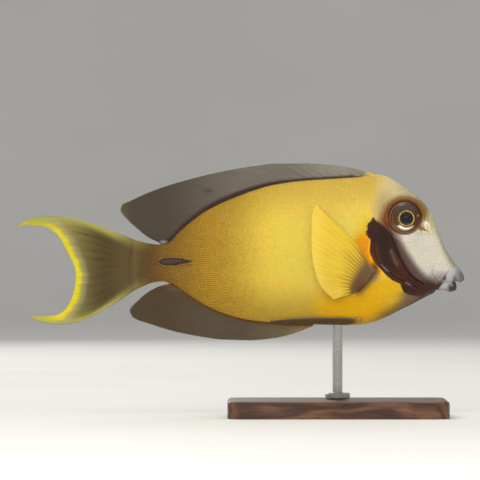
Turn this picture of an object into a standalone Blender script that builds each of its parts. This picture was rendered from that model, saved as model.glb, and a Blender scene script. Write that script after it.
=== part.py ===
"""Chocolate surgeonfish, life size, as a still museum model on a low display stand.

The fish faces +X with its back up (+Z), and its left side is +Y. Its sizes are in millimetres,
measured from its own long axis, which runs through the middle of the tail stalk. The meshes are
made in metres. The world origin is on the floor, under the middle of the fish's length.
"""

import math

import bmesh
import bpy
import numpy as np
from mathutils import Matrix, Vector

# Driving sizes, in millimetres.
MM = 0.001
AXIS_HEIGHT = 62.0  # the fish's long axis above the floor
GAP = 0.3  # kept between touching nodes

# The back, from the tail stalk to the tip of the upper lip, as (x, z).
BACK_LINE = [
    (-46.0, 9.8), (-42.0, 8.8), (-36.0, 7.4), (-32.0, 7.0), (-28.4, 8.2), (-25.4, 11.4),
    (-21.6, 15.0), (-13.2, 21.1), (-2.4, 26.2), (5.2, 29.0), (12.9, 31.2), (24.4, 32.9),
    (36.0, 33.7), (46.8, 34.4), (52.8, 35.2), (57.6, 34.6), (62.4, 32.3), (67.2, 29.0),
    (72.0, 25.1), (74.8, 22.2), (77.0, 18.8), (79.2, 12.9), (81.6, 6.6), (84.0, 2.4),
    (86.4, -1.0), (88.6, -3.8), (89.6, -5.6),
]
# The belly, from the tail stalk to the chin.
BELLY_LINE = [
    (-46.0, -13.4), (-42.0, -11.4), (-38.4, -9.6), (-35.0, -8.3), (-31.0, -7.8), (-27.4, -8.8),
    (-23.8, -11.3), (-19.3, -14.5), (-10.1, -19.5), (-4.0, -21.8), (5.0, -23.8), (13.0, -24.5),
    (30.4, -25.0), (42.0, -25.3), (48.0, -25.1), (52.8, -24.2), (57.6, -22.4), (67.2, -17.7),
    (76.8, -12.8), (79.4, -11.6), (84.0, -11.6),
]
# Half the body's width.
WIDTH_LINE = [
    (-46.0, 1.3), (-42.0, 1.8), (-36.0, 2.8), (-30.0, 3.5), (-24.0, 4.4), (-12.0, 6.5),
    (0.0, 8.3), (15.0, 10.1), (30.0, 11.2), (45.0, 11.6), (56.0, 11.2), (64.0, 10.2),
    (72.0, 8.4), (78.0, 6.6), (82.0, 5.2), (86.0, 4.2), (89.6, 3.2),
]
# The height at which the body is widest.
WIDEST_LINE = [
    (-46.0, -1.6), (-30.0, -0.2), (-10.0, 2.0), (10.0, 3.5), (40.0, 4.0), (60.0, 3.4),
    (70.0, 2.0), (78.0, -2.0), (84.0, -5.6), (89.6, -7.0),
]
# Half the width of the ridge along the back and the belly, which carries the fins.
RIDGE_LINE = [
    (-46.0, 0.4), (-34.0, 0.7), (-26.0, 1.1), (44.0, 1.1), (56.0, 0.8), (78.0, 0.9), (89.6, 0.6),
]
SECTION_POWER = 1.15  # 1 gives an oval section, and more gives a leaner one

# Edges between the lengths of the body, as (z, x).
GILL_EDGE = [
    (-19.0, 67.4), (-13.0, 66.2), (-10.0, 65.0), (-8.0, 63.2), (-7.0, 61.2), (-5.5, 58.5),
    (-3.4, 55.9), (-1.4, 54.1), (1.2, 52.6), (4.5, 51.7), (7.0, 51.6), (10.4, 52.2),
    (18.0, 53.6), (26.0, 54.6), (37.0, 55.2),
]
STALK_EDGE = [(-16.0, -27.6), (-10.0, -23.6), (0.0, -17.6), (10.0, -24.6), (16.0, -28.6)]
TAIL_FIN_EDGE = [(-14.0, -42.2), (-1.2, -44.6), (11.0, -42.2)]
LIP_EDGE = [
    (-12.0, 79.0), (-10.5, 79.3), (-9.5, 80.1), (-8.5, 81.0), (-7.3, 81.6), (-5.4, 82.4),
    (-3.9, 83.4), (-2.6, 85.0), (-1.0, 86.5), (2.0, 87.6),
]
GILL_STEP_OUT = 0.5  # how far the gill cover's free edge stands proud of the head
GILL_STEP_IN = 0.4  # how far the body dips behind it
GILL_OPENING = (-8.5, 8.6)  # heights between which the edge is free

# Mouth, as (x, z).
MOUTH_LINE = [(79.0, -8.9), (82.0, -8.5), (84.5, -8.2), (86.4, -7.7), (88.2, -8.1), (89.6, -7.2)]
UPPER_LIP_FRONT = [(-9.0, 88.4), (-7.6, 89.5), (-6.2, 89.6), (-4.0, 89.0), (-2.0, 88.0)]
LOWER_LIP_TOP = [(78.0, -9.3), (82.0, -8.9), (84.5, -8.6), (86.8, -8.9)]
LIP_POWER = 0.55
MOUTH_CORNER = (82.4, -8.6)
MOUTH_FOLD = (1.7, 2.6, 1.5)  # depth of the fold round the corner, and its reach along x and z
LOWER_LIP_BOTTOM = [(78.0, -11.3), (81.0, -11.3), (84.2, -11.9), (86.0, -11.4), (86.8, -10.8)]
LOWER_LIP_FRONT = [(-13.0, 85.0), (-11.4, 86.2), (-10.2, 86.6), (-8.0, 86.2)]
# Each lip's share of the body's width, the length of its round nose, its tip and its middle height.
UPPER_LIP_NOSE = (1.0, 5.6, 90.1, -5.2)
LOWER_LIP_NOSE = (0.66, 4.6, 86.9, -10.0)
LOWER_LIP_RIDGE = 0.5  # half width of its upper and lower edge

# Eyes.
EYE_CENTRE = (65.8, 17.7)  # x and z
EYE_RADIUS = 6.8
EYE_DEPTH = 2.2  # half the eyeball's thickness, across the head
EYE_SINK = 0.9  # how far its middle lies inside the side of the head
ORBIT_RADIUS = 7.2
ORBIT_LIP = 0.65
NOSTRILS = ((75.0, 14.3, 0.55), (73.5, 13.0, 0.45))  # x, z and radius

# Gill cover: its outline on the side of the head as (x, z), and how deep it reaches.
GILL_COVER = [
    (50.0, 16.2), (56.6, 15.4), (58.4, 12.0), (60.4, 7.2), (62.8, 2.0), (65.6, -3.2),
    (67.6, -6.8), (66.8, -9.0), (62.0, -11.0), (50.0, -6.0),
]
GILL_COVER_INSIDE = 6.9
CLEAR_OF_HEAD = 20.0  # past the side of the head, where the cutters end

# Blade on the tail stalk, as (x, z), with its half thickness as (x, y).
BLADE_TOP = [(-32.2, 0.3), (-30.6, 1.2), (-27.0, 1.3), (-23.0, 0.9), (-19.6, 0.35)]
BLADE_BOTTOM = [(-32.2, -0.1), (-30.6, -1.0), (-27.0, -1.1), (-23.0, -0.4), (-19.6, 0.1)]
BLADE_HALF_WIDTH = [(-32.2, 0.35), (-30.0, 1.0), (-26.0, 1.05), (-22.0, 0.75), (-19.6, 0.3)]
BLADE_EDGE = 0.12  # half width of its back and its cutting edge
BLADE_SINK = 0.55  # how far the blade's middle lies inside the skin

# Dorsal fin: eight spines in front and 27 soft rays behind.
DORSAL_SPINES = 8
DORSAL_SOFT_RAYS = 27
DORSAL_ROOT = (-30.4, 52.4)  # x of its rear and front ends
DORSAL_SPINE_START = 28.5  # x of the root of the last spine
DORSAL_REAR_EDGE = [(-30.4, 7.9), (-33.5, 8.6)]
DORSAL_FRONT_EDGE = [(52.4, 35.5), (51.6, 36.6)]
DORSAL_MARGIN = [
    (-33.5, 8.6), (-35.2, 9.1), (-41.6, 13.6), (-45.6, 17.4), (-47.8, 20.4), (-47.5, 22.4),
    (-43.2, 24.8), (-33.6, 29.0), (-19.2, 33.4), (-4.8, 36.7), (4.8, 38.3), (14.4, 39.4),
    (26.0, 39.5), (38.4, 38.8), (46.0, 37.8), (51.6, 36.6),
]
# Anal fin: three spines in front and 24 soft rays behind.
ANAL_SPINES = 3
ANAL_SOFT_RAYS = 24
ANAL_ROOT = (-26.6, 29.6)
ANAL_SPINE_START = 25.0
ANAL_REAR_EDGE = [(-26.6, -9.4), (-29.5, -9.1)]
ANAL_FRONT_EDGE = [(29.6, -25.3), (28.6, -25.9)]
ANAL_MARGIN = [
    (-29.5, -9.1), (-31.0, -9.3), (-36.0, -11.5), (-41.0, -15.4), (-44.2, -19.4), (-43.2, -21.8),
    (-36.0, -24.8), (-24.0, -28.3), (-16.8, -29.7), (-7.0, -31.0), (4.0, -31.3), (14.0, -30.4),
    (21.6, -28.6), (28.6, -25.9),
]
# Tail fin.
TAIL_LOBES = (0.3, 0.7)  # shares across the fin where its lobes part from its middle
TAIL_LOBE_RAYS = 6
TAIL_MIDDLE_RAYS = 8
TAIL_ROOT = (8.8, -11.8)
TAIL_UPPER_EDGE = [
    (-50.4, 12.0), (-60.0, 15.5), (-68.0, 17.6), (-74.4, 18.2), (-81.0, 17.7),
    (-86.4, 16.1), (-90.1, 13.9),
]
TAIL_LOWER_EDGE = [
    (-50.4, -16.6), (-60.0, -21.9), (-66.0, -24.2), (-72.0, -24.9),
    (-78.0, -24.1), (-84.6, -21.7),
]
TAIL_MARGIN = [
    (-90.1, 13.9), (-85.0, 14.7), (-79.2, 14.2), (-74.4, 12.0), (-71.4, 8.4), (-68.6, 3.0),
    (-66.4, -1.6), (-65.7, -4.8), (-66.4, -11.0), (-68.2, -16.2), (-70.8, -19.8),
    (-74.4, -21.5), (-79.2, -21.7), (-84.6, -21.7),
]
# Pectoral fins, as seen from the side.
PECTORAL_RAYS = 15
PECTORAL_ROOT = [(53.4, -4.0), (51.0, -7.6), (47.4, -11.5)]
PECTORAL_UPPER_EDGE = [(53.4, -4.0), (43.6, 9.8), (36.4, 17.0), (30.2, 23.2)]
PECTORAL_LOWER_EDGE = [(47.4, -11.5), (42.6, -13.0), (37.2, -15.0)]
PECTORAL_MARGIN = [
    (30.2, 23.2), (29.3, 21.6), (28.6, 20.0), (28.2, 14.0), (28.4, 4.0), (29.4, -3.0),
    (32.0, -9.6), (37.2, -15.0),
]
PECTORAL_STAND_OFF = (1.3, 3.2)  # of its middle from the flank, at the root and the margin
# Pelvic fins, folded along the belly: x of root and tip, and degrees below the widest level.
PELVIC_RAYS = 6
PELVIC_SPAN = (48.4, 12.0)
PELVIC_TOP_ANGLE = [(0.0, -63.0), (0.25, -60.0), (0.7, -62.0), (1.0, -67.0)]
PELVIC_BOTTOM_ANGLE = [(0.0, -69.0), (0.25, -72.0), (0.7, -72.0), (1.0, -69.0)]
PELVIC_LIFT = (0.9, 1.5)
PELVIC_LEAN = -55.0  # degrees from level, of the way that it lifts off

# Fin thickness, as half values.
MEMBRANE = 0.27
RAY_RIDGE = 0.3
SPINE_RIDGE = 0.42
RAY_PITCH = 0.6  # from a ray to the middle of the next membrane, for a ridge of full height
SCALLOP = 0.18  # how far the membrane's edge lies in from the tips of the rays

# Stand.
BASE_SIZE = (88.0, 56.0, 7.0)
BASE_CORNER = 6.0
BASE_EDGE = 1.2
ROD_X = 39.0
ROD_RADIUS = 2.0
ROD_SEAT = 5.0  # how deep the rod stands in the base
ROD_SINK = 9.0  # how deep it reaches into the belly
COLLAR_RADIUS = 5.0
COLLAR_HEIGHT = 2.4

# Colours and roughness.
YELLOW = (0.80, 0.55, 0.08, 1.0)
CREAM = (0.66, 0.58, 0.45, 1.0)
CHOCOLATE = (0.06, 0.03, 0.025, 1.0)
FIN_GREY = (0.14, 0.12, 0.10, 1.0)
FIN_YELLOW = (0.50, 0.46, 0.12, 1.0)
PECTORAL_YELLOW = (0.78, 0.55, 0.10, 1.0)
LIP_WHITE = (0.62, 0.62, 0.60, 1.0)
IRIS_BROWN = (0.08, 0.05, 0.035, 1.0)
WALNUT = (0.12, 0.06, 0.035, 1.0)
STEEL = (0.60, 0.60, 0.58, 1.0)


def line(points):
    """A smooth function through (at, value) points that never overshoots them."""
    at, value = (np.array(column, float) for column in zip(*points))
    step = np.diff(at)
    slope = np.diff(value) / step
    tangent = np.concatenate([slope[:1], np.zeros(len(at) - 2), slope[-1:]])
    for i in range(1, len(at) - 1):
        before, after = slope[i - 1], slope[i]
        if before * after > 0:
            heavy = 2 * step[i] + step[i - 1]
            light = step[i] + 2 * step[i - 1]
            tangent[i] = (heavy + light) / (heavy / before + light / after)

    def read(wanted):
        wanted = np.clip(np.asarray(wanted, float), at[0], at[-1])
        i = np.clip(np.searchsorted(at, wanted) - 1, 0, len(step) - 1)
        t = (wanted - at[i]) / step[i]
        return (
            value[i] * (1 + 2 * t) * (1 - t) ** 2
            + tangent[i] * step[i] * t * (1 - t) ** 2
            + value[i + 1] * t * t * (3 - 2 * t)
            + tangent[i + 1] * step[i] * t * t * (t - 1)
        )

    return read


def path(points):
    """A smooth curve through points in the plane, read by its share of the length, 0 to 1."""
    xs, zs = zip(*points)
    reach = np.concatenate([[0.0], np.cumsum(np.hypot(np.diff(xs), np.diff(zs)))])
    reach = reach / reach[-1]
    x_at, z_at = line(list(zip(reach, xs))), line(list(zip(reach, zs)))
    return lambda t: np.stack([x_at(t), z_at(t)], axis=-1)


back = line(BACK_LINE)
belly = line(BELLY_LINE)
width = line(WIDTH_LINE)
widest = line(WIDEST_LINE)
ridge = line(RIDGE_LINE)
gill_edge = line(GILL_EDGE)
stalk_edge = line(STALK_EDGE)
tail_fin_edge = line(TAIL_FIN_EDGE)
lip_edge = line(LIP_EDGE)


def smooth_step(t):
    t = np.clip(t, 0.0, 1.0)
    return t * t * (3 - 2 * t)


def in_gill_opening(z):
    """1 where the gill cover's edge is free, fading to 0 above and below."""
    low, high = GILL_OPENING
    return smooth_step((z - low + 1.5) / 3.0) * smooth_step((high + 2.0 - z) / 4.0)


def gill_relief(x, z):
    """How far the gill cover's edge lifts the head, and how far the body dips behind it."""
    ahead = x - gill_edge(z)
    lifted = GILL_STEP_OUT * np.exp(-np.maximum(ahead, 0.0) / 3.5)
    dipped = -GILL_STEP_IN * np.exp(np.minimum(ahead, 0.0) / 2.5)
    return in_gill_opening(z) * np.where(ahead > -GAP / 2, lifted, dipped)


def skin_relief(x, z):
    """The gill cover's step, and the fold of skin at the corner of the mouth."""
    depth, along, up = MOUTH_FOLD
    corner_x, corner_z = MOUTH_CORNER
    away = ((x - corner_x) / along) ** 2 + ((z - corner_z) / up) ** 2
    return gill_relief(x, z) - depth * np.exp(-away)


def no_relief(x, z):
    return np.zeros(np.shape(x))


def always(value):
    """A line that has the same value everywhere."""
    return lambda x: np.full(np.shape(x), value)


class Form:
    """The lines of one length of the body: its top, bottom and half width along x."""

    def __init__(self, top, bottom, half_width, level=widest, edge=ridge, relief=no_relief,
                 power=SECTION_POWER):
        self.top, self.bottom, self.half_width = top, bottom, half_width
        self.level, self.edge, self.relief, self.power = level, edge, relief, power

    def point(self, x, angle):
        """Height and half width at x, at an angle up from the widest level, in radians."""
        level = np.clip(self.level(x), self.bottom(x) + 0.2, self.top(x) - 0.2)
        above = (self.top(x) - level) * np.sin(angle)
        below = (level - self.bottom(x)) * np.sin(angle)
        z = level + np.where(angle > 0, above, below)
        edge = self.edge(x)
        lean = np.maximum(np.cos(angle), 0.0) ** self.power
        y = edge + np.maximum(self.half_width(x) - edge, 0.0) * lean
        return z, y + self.relief(x, z) * lean

    def side(self, x, z):
        """Half width at a place seen from the side."""
        level = self.level(x)
        high = np.where(z > level, self.top(x) - level, level - self.bottom(x))
        rise = np.clip((z - level) / high, -1.0, 1.0)
        lean = np.sqrt(1 - rise * rise) ** self.power
        return self.edge(x) + (self.half_width(x) - self.edge(x)) * lean


body_form = Form(back, belly, width, relief=skin_relief)


def mesh_object(name, corners, faces, collection):
    """A closed mesh in metres from corners in millimetres, with its faces pointing out."""
    shape = bmesh.new()
    made = [shape.verts.new([MM * float(value) for value in corner]) for corner in corners]
    for face in faces:
        shape.faces.new([made[i] for i in face])
    bmesh.ops.recalc_face_normals(shape, faces=shape.faces)
    mesh = bpy.data.meshes.new(name)
    shape.to_mesh(mesh)
    shape.free()
    made_object = bpy.data.objects.new(name, mesh)
    collection.objects.link(made_object)
    return made_object


def loft(name, form, rear, front, lengths, turns, collection):
    """A length of the body between two edges, each the x of a height, as one closed mesh.

    Each station runs between the edges, so the first and last follow them exactly.
    """
    share = np.linspace(0.0, 1.0, lengths + 1)
    angle = np.linspace(-math.pi / 2, math.pi / 2, turns + 1)
    share, angle = np.meshgrid(share, angle, indexing="ij")
    x = np.full(share.shape, float(front(0.0) + rear(0.0)) / 2)
    for _ in range(60):
        z, y = form.point(x, angle)
        x = 0.5 * x + 0.5 * ((1 - share) * rear(z) + share * front(z))
    z, y = form.point(x, angle)
    around = 2 * (turns + 1)
    corners = []
    for i in range(lengths + 1):
        corners += [(x[i, k], y[i, k], z[i, k]) for k in range(turns + 1)]
        corners += [(x[i, k], -y[i, k], z[i, k]) for k in range(turns, -1, -1)]
    faces = []
    for i in range(lengths):
        for k in range(around):
            after = (k + 1) % around
            here, ahead = i * around, (i + 1) * around
            faces.append((here + k, ahead + k, ahead + after, here + after))
    for start in (0, lengths * around):
        for k in range(turns):
            across = around - 1 - k
            faces.append((start + k, start + k + 1, start + across - 1, start + across))
    return mesh_object(name, corners, faces, collection)


def coons(root, margin, first, last):
    """A patch between four curves: u runs along the root and the margin, v from one to the other."""

    def place(u, v):
        u, v = np.broadcast_arrays(np.asarray(u, float), np.asarray(v, float))
        across, along = u[..., None], v[..., None]
        corners = (
            (1 - across) * (1 - along) * root(0.0)
            + across * (1 - along) * root(1.0)
            + (1 - across) * along * margin(0.0)
            + across * along * margin(1.0)
        )
        return (
            (1 - along) * root(u)
            + along * margin(u)
            + (1 - across) * first(v)
            + across * last(v)
            - corners
        )

    return place


def fin(name, place, rays, rows, thickness, collection):
    """A fin as one closed sheet whose rays are ridges in its own surface.

    place(u, v) is the middle of the sheet and rays the u of each ray. thickness(u, v) gives half
    the membrane's thickness and the ridge's height, which fades where the rays crowd together.
    Both faces are split into triangles alike.
    """
    columns = np.empty(2 * len(rays) - 1)
    columns[0::2] = rays
    columns[1::2] = (rays[:-1] + rays[1:]) / 2
    is_ray = np.zeros((len(columns), rows + 1))
    is_ray[0::2] = 1.0
    u, v = np.meshgrid(columns, np.linspace(0.0, 1.0, rows + 1), indexing="ij")
    middle = place(u, v)
    reach = np.linalg.norm(middle[:, -1] - middle[:, 0], axis=-1)
    pull = np.clip(SCALLOP / np.maximum(reach, 1e-6), 0.0, 0.3) * (1 - is_ray[:, 0])
    v = v * (1 - pull[:, None] * v**3)
    middle = place(u, v)
    step = 1e-3
    by_u = place(np.clip(u + step, 0, 1), v) - place(np.clip(u - step, 0, 1), v)
    by_v = place(u, np.clip(v + step, 0, 1)) - place(u, np.clip(v - step, 0, 1))
    outward = np.cross(by_u, by_v)
    size = np.linalg.norm(outward, axis=-1, keepdims=True)
    outward = outward / size
    pitch = size[..., 0] / np.linalg.norm(by_v, axis=-1) / (2 * step) / len(columns)
    sheet, rise = thickness(u, v)
    half = (sheet + is_ray * rise * np.clip(pitch / RAY_PITCH, 0.0, 1.0))[..., None]
    near, far = middle + outward * half, middle - outward * half
    count = len(columns) * (rows + 1)
    corners = np.concatenate([near.reshape(-1, 3), far.reshape(-1, 3)])

    def at(c, r, side=0):
        return side * count + c * (rows + 1) + r

    faces = []
    for c in range(len(columns) - 1):
        for r in range(rows):
            a, b, d, e = at(c, r), at(c + 1, r), at(c + 1, r + 1), at(c, r + 1)
            faces += [(a, b, d), (a, d, e)]
            faces += [(a + count, d + count, b + count), (a + count, e + count, d + count)]
    rim = [(at(c, 0), at(c + 1, 0)) for c in range(len(columns) - 1)]
    rim += [(at(len(columns) - 1, r), at(len(columns) - 1, r + 1)) for r in range(rows)]
    rim += [(at(c + 1, rows), at(c, rows)) for c in range(len(columns) - 1)]
    rim += [(at(0, r + 1), at(0, r)) for r in range(rows)]
    faces += [(b, a, a + count, b + count) for a, b in rim]
    return mesh_object(name, corners, faces, collection)


def upright(patch):
    """Puts a patch given as (x, z) in the fish's middle plane."""

    def place(u, v):
        flat = patch(u, v)
        return np.stack([flat[..., 0], np.zeros(flat.shape[:-1]), flat[..., 1]], axis=-1)

    return place


def ray_shares(root, spine_start, spines, soft):
    """The share along a fin's root of each soft ray and spine, from the rear to the front."""
    rear, front = root
    divide = (spine_start - rear) / (front - rear)
    behind = np.linspace(0.0, divide, soft + 1)[:-1]
    ahead = np.linspace(divide, 1.0, spines)
    return np.concatenate([behind, ahead])


def median_fin(name, root_span, root_line, offset, margin, rear_edge, front_edge, shares, spines,
               rows, collection):
    """The dorsal or the anal fin, standing on the body's ridge with the usual gap."""
    rear, front = root_span

    def root(u):
        x = rear + np.asarray(u, float) * (front - rear)
        return np.stack([x, root_line(x) + offset], axis=-1)

    place = upright(coons(root, path(margin), path(rear_edge), path(front_edge)))
    spine_from = shares[-spines]

    def thickness(u, v):
        x = rear + u * (front - rear)
        foot = np.minimum(ridge(x), 1.0) * smooth_step((1 - u) / 0.06 + 0.35)
        foot = np.maximum(foot * smooth_step(u / 0.05 + 0.45), MEMBRANE + 0.1)
        rise = np.where(u > spine_from - 1e-6, SPINE_RIDGE, RAY_RIDGE) * (1 - 0.75 * v)
        return MEMBRANE + (foot - MEMBRANE) * np.exp(-v * 6.0), rise * smooth_step(v * 8.0)

    return fin(name, place, shares, rows, thickness, collection)


def tail_fin(collection):
    """The tail fin's upper lobe, middle and lower lobe, which meet along two of its rays."""
    def root(u):
        z = TAIL_ROOT[0] + np.asarray(u, float) * (TAIL_ROOT[1] - TAIL_ROOT[0])
        return np.stack([tail_fin_edge(z) - GAP, z], axis=-1)

    upper = [tuple(root(0.0))] + TAIL_UPPER_EDGE
    lower = [tuple(root(1.0))] + TAIL_LOWER_EDGE
    whole = upright(coons(root, path(TAIL_MARGIN), path(upper), path(lower)))

    def part(name, start, end, rays):
        def across(u, v):
            """The share across the whole fin of a share u across this part."""
            low, high = start, end
            if start > 0:
                low = start + GAP / 2 / span(start, v)
            if end < 1:
                high = end - GAP / 2 / span(end, v)
            return low + u * (high - low)

        def span(at, v):
            return np.linalg.norm(whole(at + 0.01, v) - whole(at - 0.01, v), axis=-1) / 0.02

        def thickness(u, v):
            here = across(u, v)
            stalk = 0.35 + 1.1 * np.sqrt(np.clip(1 - (2 * here - 1) ** 2, 0.0, 1.0))
            sheet = MEMBRANE + (stalk - MEMBRANE) * np.exp(-v * 4.0)
            edge = 0.3 * np.clip(np.abs(2 * here - 1) ** 8, 0.0, 1.0) * (1 - v)
            return sheet + edge, RAY_RIDGE * (1 - 0.6 * v) * smooth_step(v * 8.0)

        shares = np.linspace(0.0, 1.0, rays)
        return fin(name, lambda u, v: whole(across(u, v), v), shares, 9, thickness, collection)

    top, bottom = TAIL_LOBES
    return [
        part("caudal_fin_upper", 0.0, top, TAIL_LOBE_RAYS),
        part("caudal_fin_middle", top, bottom, TAIL_MIDDLE_RAYS),
        part("caudal_fin_lower", bottom, 1.0, TAIL_LOBE_RAYS),
    ]


def pectoral_fin(name, side, collection):
    patch = coons(
        path(PECTORAL_ROOT), path(PECTORAL_MARGIN), path(PECTORAL_UPPER_EDGE),
        path(PECTORAL_LOWER_EDGE),
    )
    near, away = PECTORAL_STAND_OFF

    def place(u, v):
        flat = patch(u, v)
        x, z = flat[..., 0], flat[..., 1]
        off = near + (away - near) * v**1.4
        return np.stack([x, side * (body_form.side(x, z) + off), z], axis=-1)

    def thickness(u, v):
        return MEMBRANE + 0.75 * np.exp(-v * 9.0), RAY_RIDGE * (1 - 0.6 * v) * smooth_step(v * 5.0)

    return fin(name, place, np.linspace(0.0, 1.0, PECTORAL_RAYS), 6, thickness, collection)


def pelvic_fin(name, side, collection):
    top, bottom = line(PELVIC_TOP_ANGLE), line(PELVIC_BOTTOM_ANGLE)
    root_x, tip_x = PELVIC_SPAN
    near, away = PELVIC_LIFT

    def place(u, v):
        x = root_x + (tip_x - root_x) * v
        angle = np.radians(top(v) + (bottom(v) - top(v)) * u)
        z, y = body_form.point(x, angle)
        off = near + (away - near) * v
        lean = math.radians(PELVIC_LEAN)
        return np.stack([x, side * (y + off * np.cos(lean)), z + off * np.sin(lean)], axis=-1)

    def thickness(u, v):
        return MEMBRANE + 0.25 * np.exp(-v * 5.0), RAY_RIDGE * (1 - 0.6 * v) * smooth_step(v * 8.0)

    return fin(name, place, np.linspace(0.0, 1.0, PELVIC_RAYS), 7, thickness, collection)


def only_mesh(source, name, collection):
    """A plain welded mesh object made from a curve or a mesh with modifiers, which is removed."""
    bpy.context.view_layer.update()
    graph = bpy.context.evaluated_depsgraph_get()
    mesh = bpy.data.meshes.new_from_object(source.evaluated_get(graph))
    mesh.transform(source.matrix_world)
    bpy.data.objects.remove(source)
    shape = bmesh.new()
    shape.from_mesh(mesh)
    bmesh.ops.remove_doubles(shape, verts=shape.verts, dist=1e-6)
    bmesh.ops.recalc_face_normals(shape, faces=shape.faces)
    shape.to_mesh(mesh)
    shape.free()
    made = bpy.data.objects.new(name, mesh)
    collection.objects.link(made)
    return made


def boolean(target, operation, others):
    """Applies one Boolean with a list of closed meshes, then removes them."""
    tools = bpy.data.collections.new("tools")
    bpy.context.scene.collection.children.link(tools)
    for other in others:
        for holder in list(other.users_collection):
            holder.objects.unlink(other)
        tools.objects.link(other)
    modifier = target.modifiers.new(operation.lower(), "BOOLEAN")
    modifier.operation = operation
    modifier.solver = "EXACT"
    modifier.operand_type = "COLLECTION"
    modifier.collection = tools
    bpy.context.view_layer.update()
    graph = bpy.context.evaluated_depsgraph_get()
    mesh = bpy.data.meshes.new_from_object(target.evaluated_get(graph))
    target.modifiers.clear()
    target.data = mesh
    for other in others:
        bpy.data.objects.remove(other)
    bpy.data.collections.remove(tools)
    keep_largest(mesh)


def keep_largest(mesh):
    """Drops every loose scrap but the largest closed surface."""
    shape = bmesh.new()
    shape.from_mesh(mesh)
    left, groups = set(shape.verts), []
    while left:
        group, front = set(), [left.pop()]
        while front:
            here = front.pop()
            group.add(here)
            for edge in here.link_edges:
                other = edge.other_vert(here)
                if other in left:
                    left.discard(other)
                    front.append(other)
        groups.append(group)
    groups.sort(key=len, reverse=True)
    for group in groups[1:]:
        bmesh.ops.delete(shape, geom=list(group), context="VERTS")
    shape.to_mesh(mesh)
    shape.free()


def prism(name, outline, y_from, y_to, collection):
    """A flat outline in the fish's middle plane, drawn out across it, as a closed mesh."""
    curve = bpy.data.curves.new(name, "CURVE")
    curve.dimensions = "2D"
    curve.fill_mode = "BOTH"
    curve.extrude = abs(y_to - y_from) / 2 * MM
    spline = curve.splines.new("POLY")
    spline.points.add(len(outline) - 1)
    for point, (x, z) in zip(spline.points, outline):
        point.co = (x * MM, z * MM, 0.0, 1.0)
    spline.use_cyclic_u = True
    drawn = bpy.data.objects.new(name, curve)
    collection.objects.link(drawn)
    drawn.rotation_euler = (math.pi / 2, 0.0, 0.0)
    drawn.location = (0.0, (y_from + y_to) / 2 * MM, 0.0)
    return only_mesh(drawn, name, collection)


def outline_of(points, count):
    """A closed smooth outline through points, as many corners."""
    ring = path(list(points) + [points[0]])
    return [tuple(p) for p in ring(np.linspace(0.0, 1.0, count, endpoint=False))]


def eye_matrix(side):
    """Seats an eye in the side of the head, square to it there: its own +Z looks out."""
    x, z = EYE_CENTRE
    reach = EYE_RADIUS
    ahead = float(body_form.side(x + reach, z) - body_form.side(x - reach, z)) / (2 * reach)
    above = float(body_form.side(x, z + reach) - body_form.side(x, z - reach)) / (2 * reach)
    outward = Vector((-ahead, 1.0, -above)).normalized()
    round_it = ((1, 0), (-1, 0), (0, 1), (0, -1))
    flank = [body_form.side(x + reach * dx, z + reach * dz) for dx, dz in round_it]
    middle = Vector((x, float(np.mean(flank)), z)) - outward * EYE_SINK
    turn = outward.to_track_quat("Z", "X").to_matrix().to_4x4()
    place = Matrix.Translation(middle * MM) @ turn
    return place if side > 0 else Matrix.Scale(-1, 4, (0, 1, 0)) @ place


def placed_mesh(name, matrix, collection):
    """The active primitive as a mesh at that matrix, with its faces pointing out."""
    made = bpy.context.active_object
    for holder in list(made.users_collection):
        holder.objects.unlink(made)
    collection.objects.link(made)
    made.matrix_world = matrix
    return only_mesh(made, name, collection)


def eyeball(name, side, radius, depth, segments, rings, collection):
    bpy.ops.mesh.primitive_uv_sphere_add(segments=segments, ring_count=rings, radius=1.0)
    size = Matrix.Diagonal((radius * MM, radius * MM, depth * MM, 1.0))
    return placed_mesh(name, eye_matrix(side) @ size, collection)


def orbit_ring(side, collection):
    """The low roll of skin round the eye, laid on the side of the head."""
    bpy.ops.mesh.primitive_torus_add(
        major_radius=ORBIT_RADIUS * MM, minor_radius=ORBIT_LIP * MM, major_segments=28,
        minor_segments=8, rotation=(math.pi / 2, 0.0, 0.0),
        location=(EYE_CENTRE[0] * MM, 0.0, EYE_CENTRE[1] * MM),
    )
    ring = placed_mesh(f"orbit_{side}", bpy.context.active_object.matrix_world.copy(), collection)
    for corner in ring.data.vertices:
        flank = body_form.side(corner.co.x / MM, corner.co.z / MM)
        corner.co.y += side * float(flank) * MM
    return ring


def nostril(side, x, z, radius, collection):
    bpy.ops.mesh.primitive_uv_sphere_add(segments=10, ring_count=6, radius=radius * MM)
    y = side * float(body_form.side(x, z))
    return placed_mesh("nostril", Matrix.Translation((x * MM, y * MM, z * MM)), collection)


def blade(name, side, grow, lengths, turns, collection):
    """The tail stalk's folded blade, or with some growth the groove that it lies in."""
    first, last = BLADE_TOP[0][0] - grow, BLADE_TOP[-1][0] + grow
    top, bottom, half = line(BLADE_TOP), line(BLADE_BOTTOM), line(BLADE_HALF_WIDTH)
    form = Form(
        lambda x: top(x) + grow,
        lambda x: bottom(x) - grow,
        lambda x: half(x) + grow,
        level=lambda x: (top(x) + bottom(x)) / 2,
        edge=always(BLADE_EDGE),
    )
    made = loft(name, form, always(first), always(last), lengths, turns, collection)
    middle = (first + last) / 2
    lean = math.atan2(float(width(last) - width(first)), last - first)
    y = side * (float(width(middle)) - BLADE_SINK) * MM
    pivot = Matrix.Translation((middle * MM, 0.0, 0.0))
    turn = pivot @ Matrix.Rotation(side * lean, 4, "Z") @ pivot.inverted()
    made.data.transform(Matrix.Translation((0.0, y, 0.0)) @ turn)
    return made


def cylinder(name, radius, low, high, x, segments, collection):
    bpy.ops.mesh.primitive_cylinder_add(
        radius=radius * MM, depth=(high - low) * MM, vertices=segments,
        location=(x * MM, 0.0, (low + high) / 2 * MM),
    )
    return placed_mesh(name, bpy.context.active_object.matrix_world.copy(), collection)


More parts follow.
